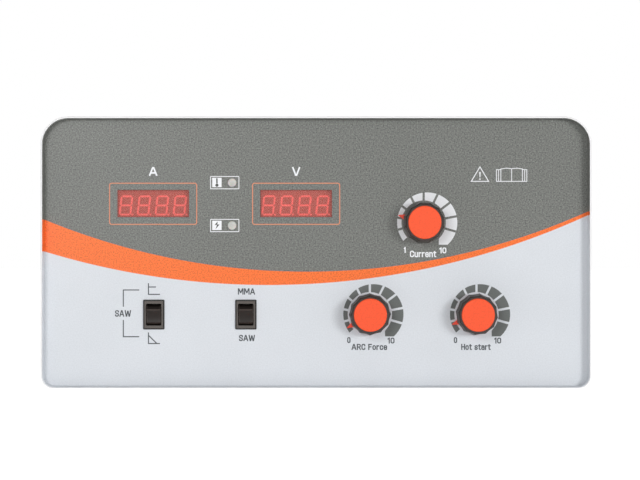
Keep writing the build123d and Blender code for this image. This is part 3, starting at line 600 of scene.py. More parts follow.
# Narrow letters, one cap height tall: each has its width, and its strokes as corners.
# A third value rounds a corner.
BOWL = [(0, 0, 1), (0.36, 0, 1), (0.36, 0.74, 1), (0, 0.74, 1), (0, 0, 1)]
LETTERS = {
    " ": (0.12, []),
    "0": (0.38, [[(0, 0, 1), (0.38, 0, 1), (0.38, 1, 1), (0, 1, 1), (0, 0, 1)]]),
    "1": (0.2, [[(0.2, 0), (0.2, 1)], [(0.04, 0.82), (0.17, 0.93)]]),
    "A": (0.56, [[(0, 0), (0.24, 1), (0.32, 1), (0.56, 0)], [(0.12, 0.3), (0.44, 0.3)]]),
    "C": (0.42, [[(0.42, 0.74), (0.42, 1, 1), (0, 1, 1), (0, 0, 1), (0.42, 0, 1), (0.42, 0.26)]]),
    "F": (0.38, [[(0, 0), (0, 1), (0.38, 1)], [(0.1, 0.52), (0.32, 0.52)]]),
    "H": (0.44, [[(0, 0), (0, 1)], [(0.44, 0), (0.44, 1)], [(0.1, 0.52), (0.34, 0.52)]]),
    "M": (0.66, [[(0, 0), (0, 1), (0.08, 1), (0.3, 0.3), (0.36, 0.3), (0.58, 1), (0.66, 1), (0.66, 0)]]),
    "R": (0.44, [[(0, 0), (0, 1), (0.42, 1, 1), (0.42, 0.48, 1), (0.1, 0.48)], [(0.28, 0.42), (0.44, 0)]]),
    "S": (0.42, [[(0.42, 0.78), (0.42, 1, 1), (0, 1, 1), (0, 0.56, 1),
                  (0.42, 0.46, 1), (0.42, 0, 1), (0, 0, 1), (0, 0.22)]]),
    "V": (0.54, [[(0, 1), (0.23, 0), (0.31, 0), (0.54, 1)]]),
    "W": (0.8, [[(0, 1), (0.15, 0), (0.22, 0), (0.37, 0.9), (0.43, 0.9), (0.58, 0), (0.65, 0), (0.8, 1)]]),
    "a": (0.36, [[(0.02, 0.62), (0.02, 0.74, 1), (0.36, 0.74, 1), (0.36, 0)],
                 [(0.3, 0.44), (0, 0.44, 1), (0, 0, 1), (0.3, 0)]]),
    "c": (0.34, [[(0.34, 0.54), (0.34, 0.74, 1), (0, 0.74, 1), (0, 0, 1), (0.34, 0, 1), (0.34, 0.2)]]),
    "e": (0.36, [[(0.08, 0.37), (0.36, 0.37), (0.36, 0.74, 1), (0, 0.74, 1), (0, 0, 1), (0.36, 0, 1),
                  (0.36, 0.18)]]),
    "n": (0.36, [[(0, 0), (0, 0.74)], [(0.1, 0.72), (0.36, 0.74, 1), (0.36, 0)]]),
    "o": (0.36, [BOWL]),
    "r": (0.24, [[(0, 0), (0, 0.74)], [(0.08, 0.68), (0.24, 0.72)]]),
    "s": (0.34, [[(0.34, 0.6), (0.34, 0.74, 1), (0, 0.74, 1), (0, 0.4, 1),
                  (0.34, 0.34, 1), (0.34, 0, 1), (0, 0, 1), (0, 0.14)]]),
    "t": (0.26, [[(0.1, 0.94), (0.1, 0, 1), (0.26, 0)], [(0, 0.74), (0.26, 0.74)]]),
    "u": (0.36, [[(0, 0.74), (0, 0, 1), (0.26, 0)], [(0.36, 0.74), (0.36, 0)]]),
}


def softened(points, radius, steps=4):
    """Rounds the marked corners of a line."""
    longest_share = 0.48
    soft = []
    for i, (x, z, *mark) in enumerate(points):
        here = Vector((x, z))
        if not mark:
            soft.append(here)
            continue
        ways = [Vector(other[:2]) - here for other in (points[i - 1], points[(i + 1) % len(points)])]
        start, end = [here + way * min(radius / way.length, longest_share) for way in ways]
        for step in range(steps + 1):
            t = step / steps
            soft.append(start * (1 - t) ** 2 + here * 2 * t * (1 - t) + end * t ** 2)
    return soft


def lettering(name, text, centre, height, width, line, material, thickness):
    """A word in narrow letters drawn with an even line, fitted to a height and width, printed on the film."""
    gap = 0.24
    total = sum(LETTERS[letter][0] + gap for letter in text) - gap
    across, rise = (width - line) / total, height - line
    left, bottom = centre[0] - width / 2 + line / 2, centre[1] - rise / 2
    sheet = Sheet(FACE_Y)
    for letter in text:
        letter_width, strokes = LETTERS[letter]
        for corners in strokes:
            ring = corners[0] == corners[-1]
            placed = [(left + x * across, bottom + z * rise, *mark) for x, z, *mark in corners[ring:]]
            points = softened(placed, 0.24 * height)
            if not ring:
                points[0] += (points[0] - points[1]).normalized() * line / 2
                points[-1] += (points[-1] - points[-2]).normalized() * line / 2
            sheet.stroke([tuple(point) for point in points], line, closed=ring)
        left += (letter_width + gap) * across
    sheet.printed(name, material, thickness)


def solids_of(node):
    """The boxes of the separate solids of a CAD node, each as its lowest and highest corner."""
    copy = bmesh.new()
    copy.from_mesh(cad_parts[node].data)
    bmesh.ops.remove_doubles(copy, verts=copy.verts, dist=1e-6)
    seen, boxes = set(), []
    for start in copy.verts:
        if start in seen:
            continue
        seen.add(start)
        island, waiting = [], [start]
        while waiting:
            vertex = waiting.pop()
            island.append(vertex.co.copy())
            for edge in vertex.link_edges:
                other = edge.other_vert(vertex)
                if other not in seen:
                    seen.add(other)
                    waiting.append(other)
        boxes.append((Vector(min(p[i] for p in island) for i in range(3)),
                      Vector(max(p[i] for p in island) for i in range(3))))
    copy.free()
    return boxes


# ---------------------------------------------------------------- geometry nodes
def geometry_tree(name, sockets):
    """An empty geometry tree with a Geometry socket each way and named inputs."""
    tree = bpy.data.node_groups.new(name, "GeometryNodeTree")
    tree.interface.new_socket(name="Geometry", in_out="INPUT", socket_type="NodeSocketGeometry")
    for label, kind in sockets.items():
        tree.interface.new_socket(name=label, in_out="INPUT", socket_type=kind)
    tree.interface.new_socket(name="Geometry", in_out="OUTPUT", socket_type="NodeSocketGeometry")
    nodes = Nodes(tree)
    return tree, nodes, nodes.add("NodeGroupInput").outputs, nodes.add("NodeGroupOutput")


def end_tree(nodes, given, out, geometry):
    """Realizes the copies and gives them the material."""
    real = nodes.add("GeometryNodeRealizeInstances", {"Geometry": geometry})
    painted = nodes.add("GeometryNodeSetMaterial", {
        "Geometry": real.outputs[0], "Material": given["Material"]})
    nodes.put(out.inputs["Geometry"], painted.outputs[0])


def grown(name, tree, source, values):
    """The plain mesh that a geometry tree makes from a source mesh."""
    holder = bpy.data.objects.new(name, source)
    bpy.context.scene.collection.objects.link(holder)
    modifier = holder.modifiers.new("Grow", "NODES")
    modifier.node_group = tree
    for item in tree.interface.items_tree:
        if item.in_out == "INPUT" and item.name in values:
            modifier[item.identifier] = values[item.name]
    bpy.context.view_layer.update()
    evaluated = holder.evaluated_get(bpy.context.evaluated_depsgraph_get())
    mesh = bpy.data.meshes.new_from_object(evaluated)
    holder.modifiers.remove(modifier)
    bpy.data.objects.remove(holder)
    return mesh


@cache
def dial_tree():
    """A crescent of segments: each is a small grid, bent between an inner circle and an offset outer one."""
    lengths = ("Inner radius", "Outer radius", "Outer offset", "Gap", "Start", "Step", "Last inner end",
               "Last outer end", "Cut right")
    sockets = {label: "NodeSocketFloat" for label in lengths}
    tree, nodes, given, out = geometry_tree(
        "Dial segments", {"Segments": "NodeSocketInt", **sockets, "Centre": "NodeSocketVector",
                          "Material": "NodeSocketMaterial"})
    grid = nodes.add("GeometryNodeMeshGrid", {
        "Size X": 1.0, "Size Y": 1.0, "Vertices X": 13, "Vertices Y": 2})
    line = nodes.add("GeometryNodeMeshLine", {"Count": given["Segments"], "Offset": (0, 0, 1)})
    copies = nodes.add("GeometryNodeInstanceOnPoints", {
        "Points": line.outputs[0], "Instance": grid.outputs[0]})
    real = nodes.add("GeometryNodeRealizeInstances", {"Geometry": copies.outputs[0]})
    position = nodes.add("GeometryNodeInputPosition").outputs[0]
    here = nodes.add("ShaderNodeSeparateXYZ", {"Vector": position}).outputs
    along = nodes.math("ADD", here["X"], 0.5)
    outward = nodes.math("ADD", here["Y"], 0.5)
    first = nodes.math("LESS_THAN", here["Z"], 0.5)
    last = nodes.math("GREATER_THAN", here["Z"], nodes.math("SUBTRACT", given["Segments"], 1.5))
    begin = nodes.math("SUBTRACT", given["Start"], nodes.math("MULTIPLY", here["Z"], given["Step"]))
    plain_end = nodes.math("SUBTRACT", begin, given["Step"])
    ends = nodes.math("SUBTRACT", given["Last outer end"], given["Last inner end"])
    last_end = nodes.math("MULTIPLY_ADD", ends, outward, given["Last inner end"])
    end = nodes.math("MULTIPLY_ADD", last, nodes.math("SUBTRACT", last_end, plain_end), plain_end)
    direction = nodes.math("MULTIPLY_ADD", nodes.math("SUBTRACT", end, begin), along, begin)

    def radius_at(angle):
        """From the inner circle to the outer one, in a direction."""
        sideways = nodes.math("MULTIPLY", given["Outer offset"], nodes.math("SINE", angle))
        squares = nodes.math("SUBTRACT", nodes.math("POWER", given["Outer radius"], 2.0),
                             nodes.math("POWER", sideways, 2.0))
        forward = nodes.math("MULTIPLY", given["Outer offset"], nodes.math("COSINE", angle))
        rim = nodes.math("ADD", forward, nodes.math("SQRT", squares))
        span = nodes.math("SUBTRACT", rim, given["Inner radius"])
        return nodes.math("MULTIPLY_ADD", span, outward, given["Inner radius"])

    # the gaps have parallel sides, so near the centre they turn through a larger angle
    half_gap = nodes.math("DIVIDE", nodes.math("MULTIPLY", given["Gap"], 0.5), radius_at(direction))
    at_begin = nodes.math("MULTIPLY", nodes.math("SUBTRACT", 1.0, along), nodes.math("SUBTRACT", 1.0, first))
    at_end = nodes.math("MULTIPLY", along, nodes.math("SUBTRACT", 1.0, last))
    inset = nodes.math("MULTIPLY", half_gap, nodes.math("SUBTRACT", at_end, at_begin))
    angle = nodes.math("ADD", direction, inset)
    radius = radius_at(angle)
    x = nodes.math("MULTIPLY", radius, nodes.math("COSINE", angle))
    z = nodes.math("MULTIPLY", radius, nodes.math("SINE", angle))
    short_of_cut = nodes.math("MAXIMUM", nodes.math("SUBTRACT", given["Cut right"], x), 0.0)
    cut = nodes.math("MULTIPLY", last, short_of_cut)
    bent = nodes.add("ShaderNodeCombineXYZ", {"X": nodes.math("ADD", x, cut), "Y": 0.0, "Z": z}).outputs[0]
    moved = nodes.add("GeometryNodeSetPosition", {
        "Geometry": real.outputs[0], "Position": nodes.vector("ADD", bent, given["Centre"])})
    end_tree(nodes, given, out, moved.outputs[0])
    return tree


@cache
def copies_tree():
    """Copies of one small object on every point, turned as the point says and a little uneven in size."""
    tree, nodes, given, out = geometry_tree("Set out copies", {
        "Pattern": "NodeSocketObject", "Unevenness": "NodeSocketFloat", "Seed": "NodeSocketInt",
        "Material": "NodeSocketMaterial"})
    pattern = nodes.add("GeometryNodeObjectInfo", {"Object": given["Pattern"]})
    points = nodes.add("GeometryNodeMeshToPoints", {"Mesh": given["Geometry"]})
    turn = nodes.add("GeometryNodeInputNamedAttribute", {"Name": "turn"}, data_type="FLOAT")
    spin = nodes.add("ShaderNodeCombineXYZ", {"X": 0.0, "Y": turn.outputs["Attribute"], "Z": 0.0})
    low, high = nodes.math("SUBTRACT", 1.0, given["Unevenness"]), nodes.math("ADD", 1.0, given["Unevenness"])
    size = nodes.add("FunctionNodeRandomValue", {"Seed": given["Seed"]}, data_type="FLOAT")
    nodes.put(size.inputs[2], low)
    nodes.put(size.inputs[3], high)
    copies = nodes.add("GeometryNodeInstanceOnPoints", {
        "Points": points.outputs[0], "Instance": pattern.outputs["Geometry"], "Scale": size.outputs[1]})
    nodes.put(copies.inputs["Rotation"], spin.outputs[0])
    end_tree(nodes, given, out, copies.outputs[0])
    return tree


def set_out(name, pattern, places, material, unevenness=0.0, seed=1, body=PANEL):
    """Copies of a pattern mesh at places, each a point and a turn about Y, as one piece."""
    source = bpy.data.meshes.new(name + "_places")
    source.from_pydata([tuple(point) for point, _ in places], [], [])
    turns = source.attributes.new("turn", "FLOAT", "POINT")
    turns.data.foreach_set("value", [turn for _, turn in places])
    template = bpy.data.objects.new(name + "_pattern", pattern)
    bpy.context.scene.collection.objects.link(template)
    mesh = grown(name, copies_tree(), source, {
        "Pattern": template, "Unevenness": unevenness, "Seed": seed, "Material": material})
    bpy.data.objects.remove(template)
    return piece(name, mesh, material, body)


# ---------------------------------------------------------------- small patterns, centred on the origin
def turned(profile, steps=16):
    """A solid of revolution about Y.

    The profile, as (radius, y), runs from the axis to the axis, or is a closed ring clear of it.
    """
    shape = bmesh.new()
    angles = [2 * pi * i / steps for i in range(steps)]
    rings = []
    for radius, y in profile:
        if radius == 0:
            rings.append([shape.verts.new((0, y, 0))])
        else:
            rings.append([shape.verts.new((radius * cos(a), y, radius * sin(a))) for a in angles])
    ends = zip(rings, rings[1:]) if len(rings[0]) == 1 else zip(rings, rings[1:] + rings[:1])
    for low, high in ends:
        for i in range(steps):
            j = (i + 1) % steps
            corners = [low[i % len(low)], low[j % len(low)], high[j % len(high)], high[i % len(high)]]
            face = list(dict.fromkeys(corners))
            if len(face) > 2:
                shape.faces.new(face)
    return closed(shape, smooth=True)


def blocks(boxes, bevel=0.0):
    """Bevelled blocks, each from its lowest and highest corner, as one mesh."""
    shape = bmesh.new()
    for low, high in boxes:
        size = [b - a for a, b in zip(low, high)]
        centre = [(a + b) / 2 for a, b in zip(low, high)]
        bmesh.ops.create_cube(shape, size=1, matrix=Matrix.Translation(centre) @ Matrix.Diagonal((*size, 1)))
    if bevel:
        bmesh.ops.bevel(shape, geom=shape.edges[:], offset=bevel, segments=2, affect="EDGES", profile=0.5)
    return closed(shape)


def bent_strip(points, width, thickness):
    """A flat strip of metal along points in the XY plane, as wide as given along Z."""
    shape = bmesh.new()
    loops = []
    for i, (x, y) in enumerate(points):
        before, after = points[max(i - 1, 0)], points[min(i + 1, len(points) - 1)]
        angle = atan2(after[1] - before[1], after[0] - before[0]) + pi / 2
        dx, dy = cos(angle) * thickness / 2, sin(angle) * thickness / 2
        loops.append([shape.verts.new((x + side * dx, y + side * dy, edge * width / 2))
                      for side, edge in ((1, -1), (1, 1), (-1, 1), (-1, -1))])
    for first, second in zip(loops, loops[1:]):
        for i in range(4):
            shape.faces.new((first[i], first[(i + 1) % 4], second[(i + 1) % 4], second[i]))
    shape.faces.new(loops[0])
    shape.faces.new(loops[-1])
    return closed(shape)


def closed(shape, smooth=False):
    """Turns a closed shape into a mesh whose faces point outwards."""
    bmesh.ops.recalc_face_normals(shape, faces=shape.faces)
    for face in shape.faces:
        face.smooth = smooth
    mesh = bpy.data.meshes.new("shape")
    shape.to_mesh(mesh)
    shape.free()
    return mesh


# ---------------------------------------------------------------- operators
class PieceOperator:
    """What every operator here shares: the settings, and a plain end."""

    bl_options = {"REGISTER", "UNDO"}

    def execute(self, context):
        scene = context.scene
        self.build(scene.panel_print, scene.panel_colours, scene.panel_stage)
        return {"FINISHED"}


class PANEL_OT_mould_fascia(PieceOperator, Operator):
    """Finish the moulded fascia"""

    bl_idname = "panel_looks.mould_fascia"
    bl_label = "Mould the fascia"

    def build(self, sizes, colours, stage):
        case = plastic("Fascia plastic", colours.case, roughness=0.5, grain=0.5, depth=0.02, mottle=0.02)
        finish(case, "fascia")


class PANEL_OT_print_film(PieceOperator, Operator):
    """Print the overlay film's coloured fields"""

    bl_idname = "panel_looks.print_film"
    bl_label = "Print the film"

    def build(self, sizes, colours, stage):
        finish(printed_film(sizes, colours), "overlay")


class PANEL_OT_print_frames(PieceOperator, Operator):
    """Print the frames round the displays and lamps, and the lamps' pictograms"""

    bl_idname = "panel_looks.print_frames"
    bl_label = "Print the frames"

    def build(self, sizes, colours, stage):
        orange = ink("Orange line", colours.frame_orange, 0.35)
        white = ink("White line", colours.ink_white)
        dark = ink("Pictogram ink", shade(colours.field_dark, 0.45))
        for name in DISPLAYS:
            centre = middle(f"display_window_{name}")
            sheet = Sheet(FACE_Y)
            sheet.frame(sizes.display_frame_width, sizes.display_frame_height, 1.8 * MM, sizes.frame_line,
                        (centre.x, centre.z - 0.2 * MM))
            sheet.printed(f"display_frame_{name}", orange, sizes.ink)
        for name in ("heat", "mains"):
            lens = middle(f"indicator_lens_{name}")
            centre = (lens.x - 5.2 * MM, lens.z)
            square = (lens.x - 10.7 * MM, lens.z + 0.1 * MM)
            sheet = Sheet(FACE_Y)
            sheet.frame(sizes.lamp_frame_width, sizes.lamp_frame_height, 0.6 * MM,
                        0.8 * sizes.frame_line, centre)
            sheet.polygon(rounded_outline(sizes.pictogram, sizes.pictogram, 0.4 * MM, square))
            sheet.printed(f"lamp_frame_{name}", white, sizes.ink)
            mark = Sheet(FACE_Y - sizes.ink)
            getattr(self, name)(mark, square, sizes.pictogram / 8.6)
            mark.printed(f"lamp_pictogram_{name}", dark, sizes.ink / 2)

    @staticmethod
    def heat(sheet, centre, unit):
        """A thermometer."""
        x, z = centre
        sheet.polygon(circle_outline(1.45 * unit, (x, z - 2.5 * unit)))
        sheet.polygon(rounded_outline(1.3 * unit, 4.9 * unit, 0.5 * unit, (x, z + 1.45 * unit)))

    @staticmethod
    def mains(sheet, centre, unit):
        """A bent lightning arrow."""
        x, z = centre
        points = ((0.9, 3.9), (-2.2, 0.3), (0.1, 0.5), (-1.3, -3.7), (2.4, 0.9), (0.2, 0.8))
        sheet.polygon([(x + a * unit, z + b * unit) for a, b in points])


class PANEL_OT_print_dials(PieceOperator, Operator):
    """Print the crescent dial round each knob"""

    bl_idname = "panel_looks.print_dials"
    bl_label = "Print the dials"

    def build(self, sizes, colours, stage):
        white = ink("Dial white", shade(colours.ink_white, 0.9), 0.2)
        grey = ink("Dial grey", colours.dial_grey, 0.5)
        # the last segment ends level with the lowest point of the inner circle
        reach = (sizes.dial_outer ** 2 - sizes.dial_inner ** 2) ** 0.5
        last_outer_end = -atan2(sizes.dial_inner, sizes.dial_offset + reach)
        for name in KNOBS:
            knob = middle(f"knob_cap_{name}")
            material = white if name == "current" else grey
            mesh = grown(f"dial_{name}", dial_tree(), bpy.data.meshes.new("none"), {
                "Segments": sizes.dial_segments, "Inner radius": sizes.dial_inner,
                "Outer radius": sizes.dial_outer, "Outer offset": sizes.dial_offset, "Gap": sizes.dial_gap,
                "Start": sizes.dial_start, "Step": sizes.dial_step, "Last inner end": -pi / 2,
                "Last outer end": last_outer_end, "Cut right": sizes.dial_cut,
                "Centre": (knob.x, FACE_Y, knob.z), "Material": material})
            for polygon in mesh.polygons:
                if polygon.normal.y > 0:
                    polygon.flip()
            thicken(piece(f"dial_{name}", mesh, material), sizes.ink)


class PANEL_OT_print_lettering(PieceOperator, Operator):
    """Print the units, numerals and function words"""

    bl_idname = "panel_looks.print_lettering"
    bl_label = "Print the lettering"

    def build(self, sizes, colours, stage):
        white = ink("White lettering", colours.ink_white)
        grey = ink("Grey lettering", colours.ink_grey)

        def write(name, text, x, z, height, width, material, line=0.82):
            lettering(name, text, (x, z), height * MM, width * MM, line * MM, material, sizes.ink)

        for display, unit, width in (("amps", "A", 5.9), ("volts", "V", 5.7)):
            centre = middle(f"display_window_{display}")
            write(f"unit_{display}", unit, centre.x, centre.z + 22.6 * MM, 6.3, width, white, 1.15)
        # for each knob: its word, the word's width, height and drop below the knob, the lowest number and its
        # width, and how far below and beside the knob the numbers lie
        words = {"current": ("Current", 18.6, 4.6, 22.1, "1", 1.5, 19.4, 13.4),
                 "arc_force": ("ARC Force", 25.1, 4.3, 23.0, "0", 2.4, 18.3, 14.8),
                 "hot_start": ("Hot start", 20.8, 4.3, 23.0, "0", 2.4, 18.3, 14.8)}
        number_height, ten_width = 4.2, 5.2
        for knob, (word, width, height, below, lowest, lowest_width, drop, spread) in words.items():
            centre = middle(f"knob_cap_{knob}")
            material = white if knob == "current" else grey
            write(f"word_{knob}", word, centre.x - 0.4 * MM, centre.z - below * MM, height, width, material)
            write(f"lowest_{knob}", lowest, centre.x - spread * MM, centre.z - (drop - 0.1) * MM,
                  number_height, lowest_width, material)
            write(f"highest_{knob}", "10", centre.x + spread * MM, centre.z - (drop + 0.2) * MM,
                  number_height, ten_width, material)
        process, kind = middle("switch_housing_process"), middle("switch_housing_characteristic")
        write("word_stick", "MMA", process.x + 0.4 * MM, process.z + 16.25 * MM, 4.4, 12.1, grey)
        write("word_arc", "SAW", process.x + 0.8 * MM, process.z - 16.5 * MM, 4.4, 11.3, grey)
        write("word_arc_kind", "SAW", kind.x - 21.7 * MM, kind.z + 0.8 * MM, 4.6, 11.3, grey)


class PANEL_OT_print_marks(PieceOperator, Operator):
    """Print the warning and manual symbols, the bracket and the two arc characteristics"""

    bl_idname = "panel_looks.print_marks"
    bl_label = "Print the marks"

    def build(self, sizes, colours, stage):
        self.warning(sizes, ink("Symbol white", shade(colours.ink_white, 0.92)))
        self.characteristics(sizes, ink("Symbol grey", colours.ink_grey))

    def warning(self, sizes, white):
        """A triangle with a bar and a dot, and beside it an open book."""
        line = sizes.symbol_line
        centre, foot, top, half = 115.45 * MM, 50.3 * MM, 60.5 * MM, 6.1 * MM
        sheet = Sheet(FACE_Y)
        sheet.stroke([(centre - half, foot), (centre + half, foot), (centre, top)], 1.2 * line, closed=True)
        bar_top, bar_low, dot, wide, narrow = (size * MM for size in (6.6, 2.8, 1.6, 0.55, 0.3))
        sheet.polygon([(centre - wide, foot + bar_top), (centre - narrow, foot + bar_low),
                       (centre + narrow, foot + bar_low), (centre + wide, foot + bar_top)])
        sheet.polygon(circle_outline(wide, (centre, foot + dot), 16))
        sheet.printed("warning_symbol", white, sizes.ink)
        book = Sheet(FACE_Y)
        spine, low, high, page = 137.75 * MM, 50.3 * MM, 59.3 * MM, 7.6 * MM
        half, outmost = line / 2, 3.1
        for side in (-1, 1):
            edge = spine + side * page
            book.stroke([(edge, low + half), (edge, high - 0.3 * MM),
                         (spine + side * 0.5 * page, high + 0.3 * MM), (spine + side * half, high)], line)
            for outset in (1.6, outmost):
                cover = edge + side * outset * MM
                book.stroke([(cover, low + half), (cover, high - 0.8 * MM),
                             (cover - side * 1.4 * MM, high - 0.7 * MM)], line)
        book.stroke([(spine, low + half), (spine, high)], line)
        reach = page + outmost * MM + half
        book.stroke([(spine - reach, low), (spine + reach, low)], line)
        book.printed("manual_symbol", white, sizes.ink)

    def characteristics(self, sizes, grey):
        """Beside one switch, a bracket, and the flat and drooping output curves."""
        switch = middle("switch_housing_characteristic")
        x, z, line = switch.x, switch.z, sizes.line
        near, far, rise, arm, gap = 10.3, 21.5, 0.85, 16.45, 4.65
        bracket = Sheet(FACE_Y)
        for side in (-1, 1):
            bracket.stroke([(x - near * MM, z + (rise + side * arm) * MM),
                            (x - far * MM, z + (rise + side * arm) * MM),
                            (x - far * MM, z + (rise + side * gap) * MM)], line)
        bracket.printed("switch_bracket", grey, sizes.ink)
        axis_x, right = x - 3.8 * MM, x + 4.3 * MM
        flat = Sheet(FACE_Y)
        flat.stroke([(axis_x, z + 22.1 * MM), (axis_x, z + 14.2 * MM), (right, z + 14.2 * MM)], line)
        flat.stroke([(axis_x, z + 19.4 * MM), (right - 2.8 * MM, z + 19.4 * MM)], line)
        flat.printed("flat_characteristic", grey, sizes.ink)
        droop = Sheet(FACE_Y)
        droop.stroke([(axis_x, z - 12.6 * MM), (axis_x, z - 20.4 * MM), (right, z - 20.4 * MM)], line)
        droop.stroke([(axis_x, z - 14.6 * MM), (right - 2.3 * MM, z - 20.3 * MM)], line)
        droop.printed("drooping_characteristic", grey, sizes.ink)


class PANEL_OT_fit_displays(PieceOperator, Operator):
    """Finish the red windows, the display modules and their light bars"""

    bl_idname = "panel_looks.fit_displays"
    bl_label = "Fit the displays"

    def build(self, sizes, colours, stage):
        window, bars = window_film(colours), segment_diffuser(colours)
        face = plastic("Module face", colours.module, roughness=0.6, grain=0.6)
        for name in DISPLAYS:
            finish(window, f"display_window_{name}")
            finish(face, f"display_module_{name}")
            finish(bars, f"display_segments_{name}")


class PANEL_OT_fit_lamps(PieceOperator, Operator):
    """Finish the indicator lenses and the lamps behind them"""

    bl_idname = "panel_looks.fit_lamps"
    bl_label = "Fit the lamps"

    def build(self, sizes, colours, stage):
        finish(frosted_lens(), "indicator_lens_heat", "indicator_lens_mains")
        finish(plastic("Lamp epoxy", linear(190, 70, 60), roughness=0.15, depth=0.002), "indicator_lamps")


class PANEL_OT_fit_knobs(PieceOperator, Operator):
    """Finish the knobs, their pointers and collets"""

    bl_idname = "panel_looks.fit_knobs"
    bl_label = "Fit the knobs"

    def build(self, sizes, colours, stage):
        body = plastic("Knob plastic", colours.knob, roughness=0.42, grain=0.35, depth=0.012, mottle=0.1)
        cap = plastic("Cap plastic", colours.cap, roughness=0.5, grain=0.5, depth=0.014, mottle=0.09,
                      patch=1.3)
        pointer = plastic("Pointer plastic", colours.pointer, roughness=0.4)
        brass = metal("Turned brass", BRASS, streak=0.15)
        for name in KNOBS:
            finish(body, f"knob_{name}")
            finish(cap, f"knob_cap_{name}")
            finish(pointer, f"pointer_ring_{name}")
            finish(brass, f"collet_{name}", f"collet_nut_{name}")
        finish(brass, "mounting_inserts")


class PANEL_OT_fit_switches(PieceOperator, Operator):
    """Finish the rocker switches and what is inside them"""

    bl_idname = "panel_looks.fit_switches"
    bl_label = "Fit the switches"

    def build(self, sizes, colours, stage):
        housing = switch_plastic(colours.bezel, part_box("switch_housing_process")[0].y)
        nylon = plastic("Nylon", linear(222, 218, 204), roughness=0.45)
        spring = metal("Spring steel", linear(180, 180, 182), streak=0.1)
        copper = metal("Contact copper", linear(206, 140, 96), polish=0.05)
        for name in SWITCHES:
            finish(housing, f"switch_housing_{name}")
            finish(rocker_plastic(name, colours.rocker), f"rocker_{name}")
            finish(nylon, f"plunger_{name}")
            finish(spring, f"plunger_spring_{name}")
            finish(copper, f"contact_lever_{name}")


class PANEL_OT_fit_pots(PieceOperator, Operator):
    """Finish the potentiometers"""

    bl_idname = "panel_looks.fit_pots"
    bl_label = "Fit the potentiometers"

    def build(self, sizes, colours, stage):
        nickel = metal("Nickel plate", linear(205, 202, 190), streak=0.2)
        finish(nickel, "pot_bushes", "pot_nuts")
        finish(metal("Pressed steel", linear(190, 190, 188)), "pot_cans")
        finish(plastic("Phenolic", linear(140, 92, 52), roughness=0.5, mottle=0.12), "pot_tracks")
        aluminium = metal("Turned aluminium", linear(216, 217, 218), streak=0.12)
        carrier = plastic("Wiper carrier", linear(70, 70, 72), roughness=0.5)
        for name in KNOBS:
            finish(aluminium, f"shaft_{name}")
            finish(carrier, f"wiper_{name}")


class PANEL_OT_finish_board(PieceOperator, Operator):
    """Finish the circuit board and the parts soldered to it"""

    bl_idname = "panel_looks.finish_board"
    bl_label = "Finish the board"

    def build(self, sizes, colours, stage):
        finish(solder_mask(colours), "circuit_board")
        zinc = metal("Zinc plate", ZINC, streak=0.25)
        finish(zinc, "board_screws", "washers")
        finish(metal("Tinned metal", TIN, streak=0.2), "leads_and_pins", "pot_terminals",
               "switch_terminals")
        chip = plastic("Chip epoxy", linear(42, 42, 44), roughness=0.55, grain=0.3)
        finish(chip, "integrated_circuits", "voltage_regulator")
        finish(plastic("Capacitor sleeve", linear(28, 32, 58), roughness=0.3, depth=0.003),
               "electrolytic_capacitors")
        finish(plastic("Trimmer blue", linear(34, 82, 164), roughness=0.35), "trimmers")
        finish(plastic("Header black", linear(38, 38, 38), roughness=0.5), "harness_header")
        finish(plastic("Header white", linear(226, 223, 212), roughness=0.45), "supply_header")
        finish(metal("Black anodising", linear(46, 46, 50), streak=0.4), "heat_sink")


class PANEL_OT_solder_leads(PieceOperator, Operator):
    """Add a cone of solder round every lead and terminal behind the board"""

    bl_idname = "panel_looks.solder_leads"
    bl_label = "Solder the leads"

    def build(self, sizes, colours, stage):
        solder = metal("Solder", linear(206, 207, 206), polish=0.12, streak=0.5)
        groups = {"leads_and_pins": 1.0 * MM, "pot_terminals": 1.35 * MM, "switch_terminals": 2.9 * MM}
        for node, radius in groups.items():
            rise = min(0.9 * radius, 1.1 * MM)
            cone = turned([(0, -0.3 * MM), (radius, -0.3 * MM), (radius, 0.02 * MM),
                           (0.62 * radius, 0.3 * rise), (0.42 * radius, 0.75 * rise), (0.2 * radius, rise),
                           (0, rise)], steps=14)
            places = [((x, BOARD_REAR_Y, z), 0.0) for x, z in (flat_middle(*box) for box in solids_of(node))]
            set_out(f"solder_{node}", cone, places, solder, unevenness=0.06, seed=7)


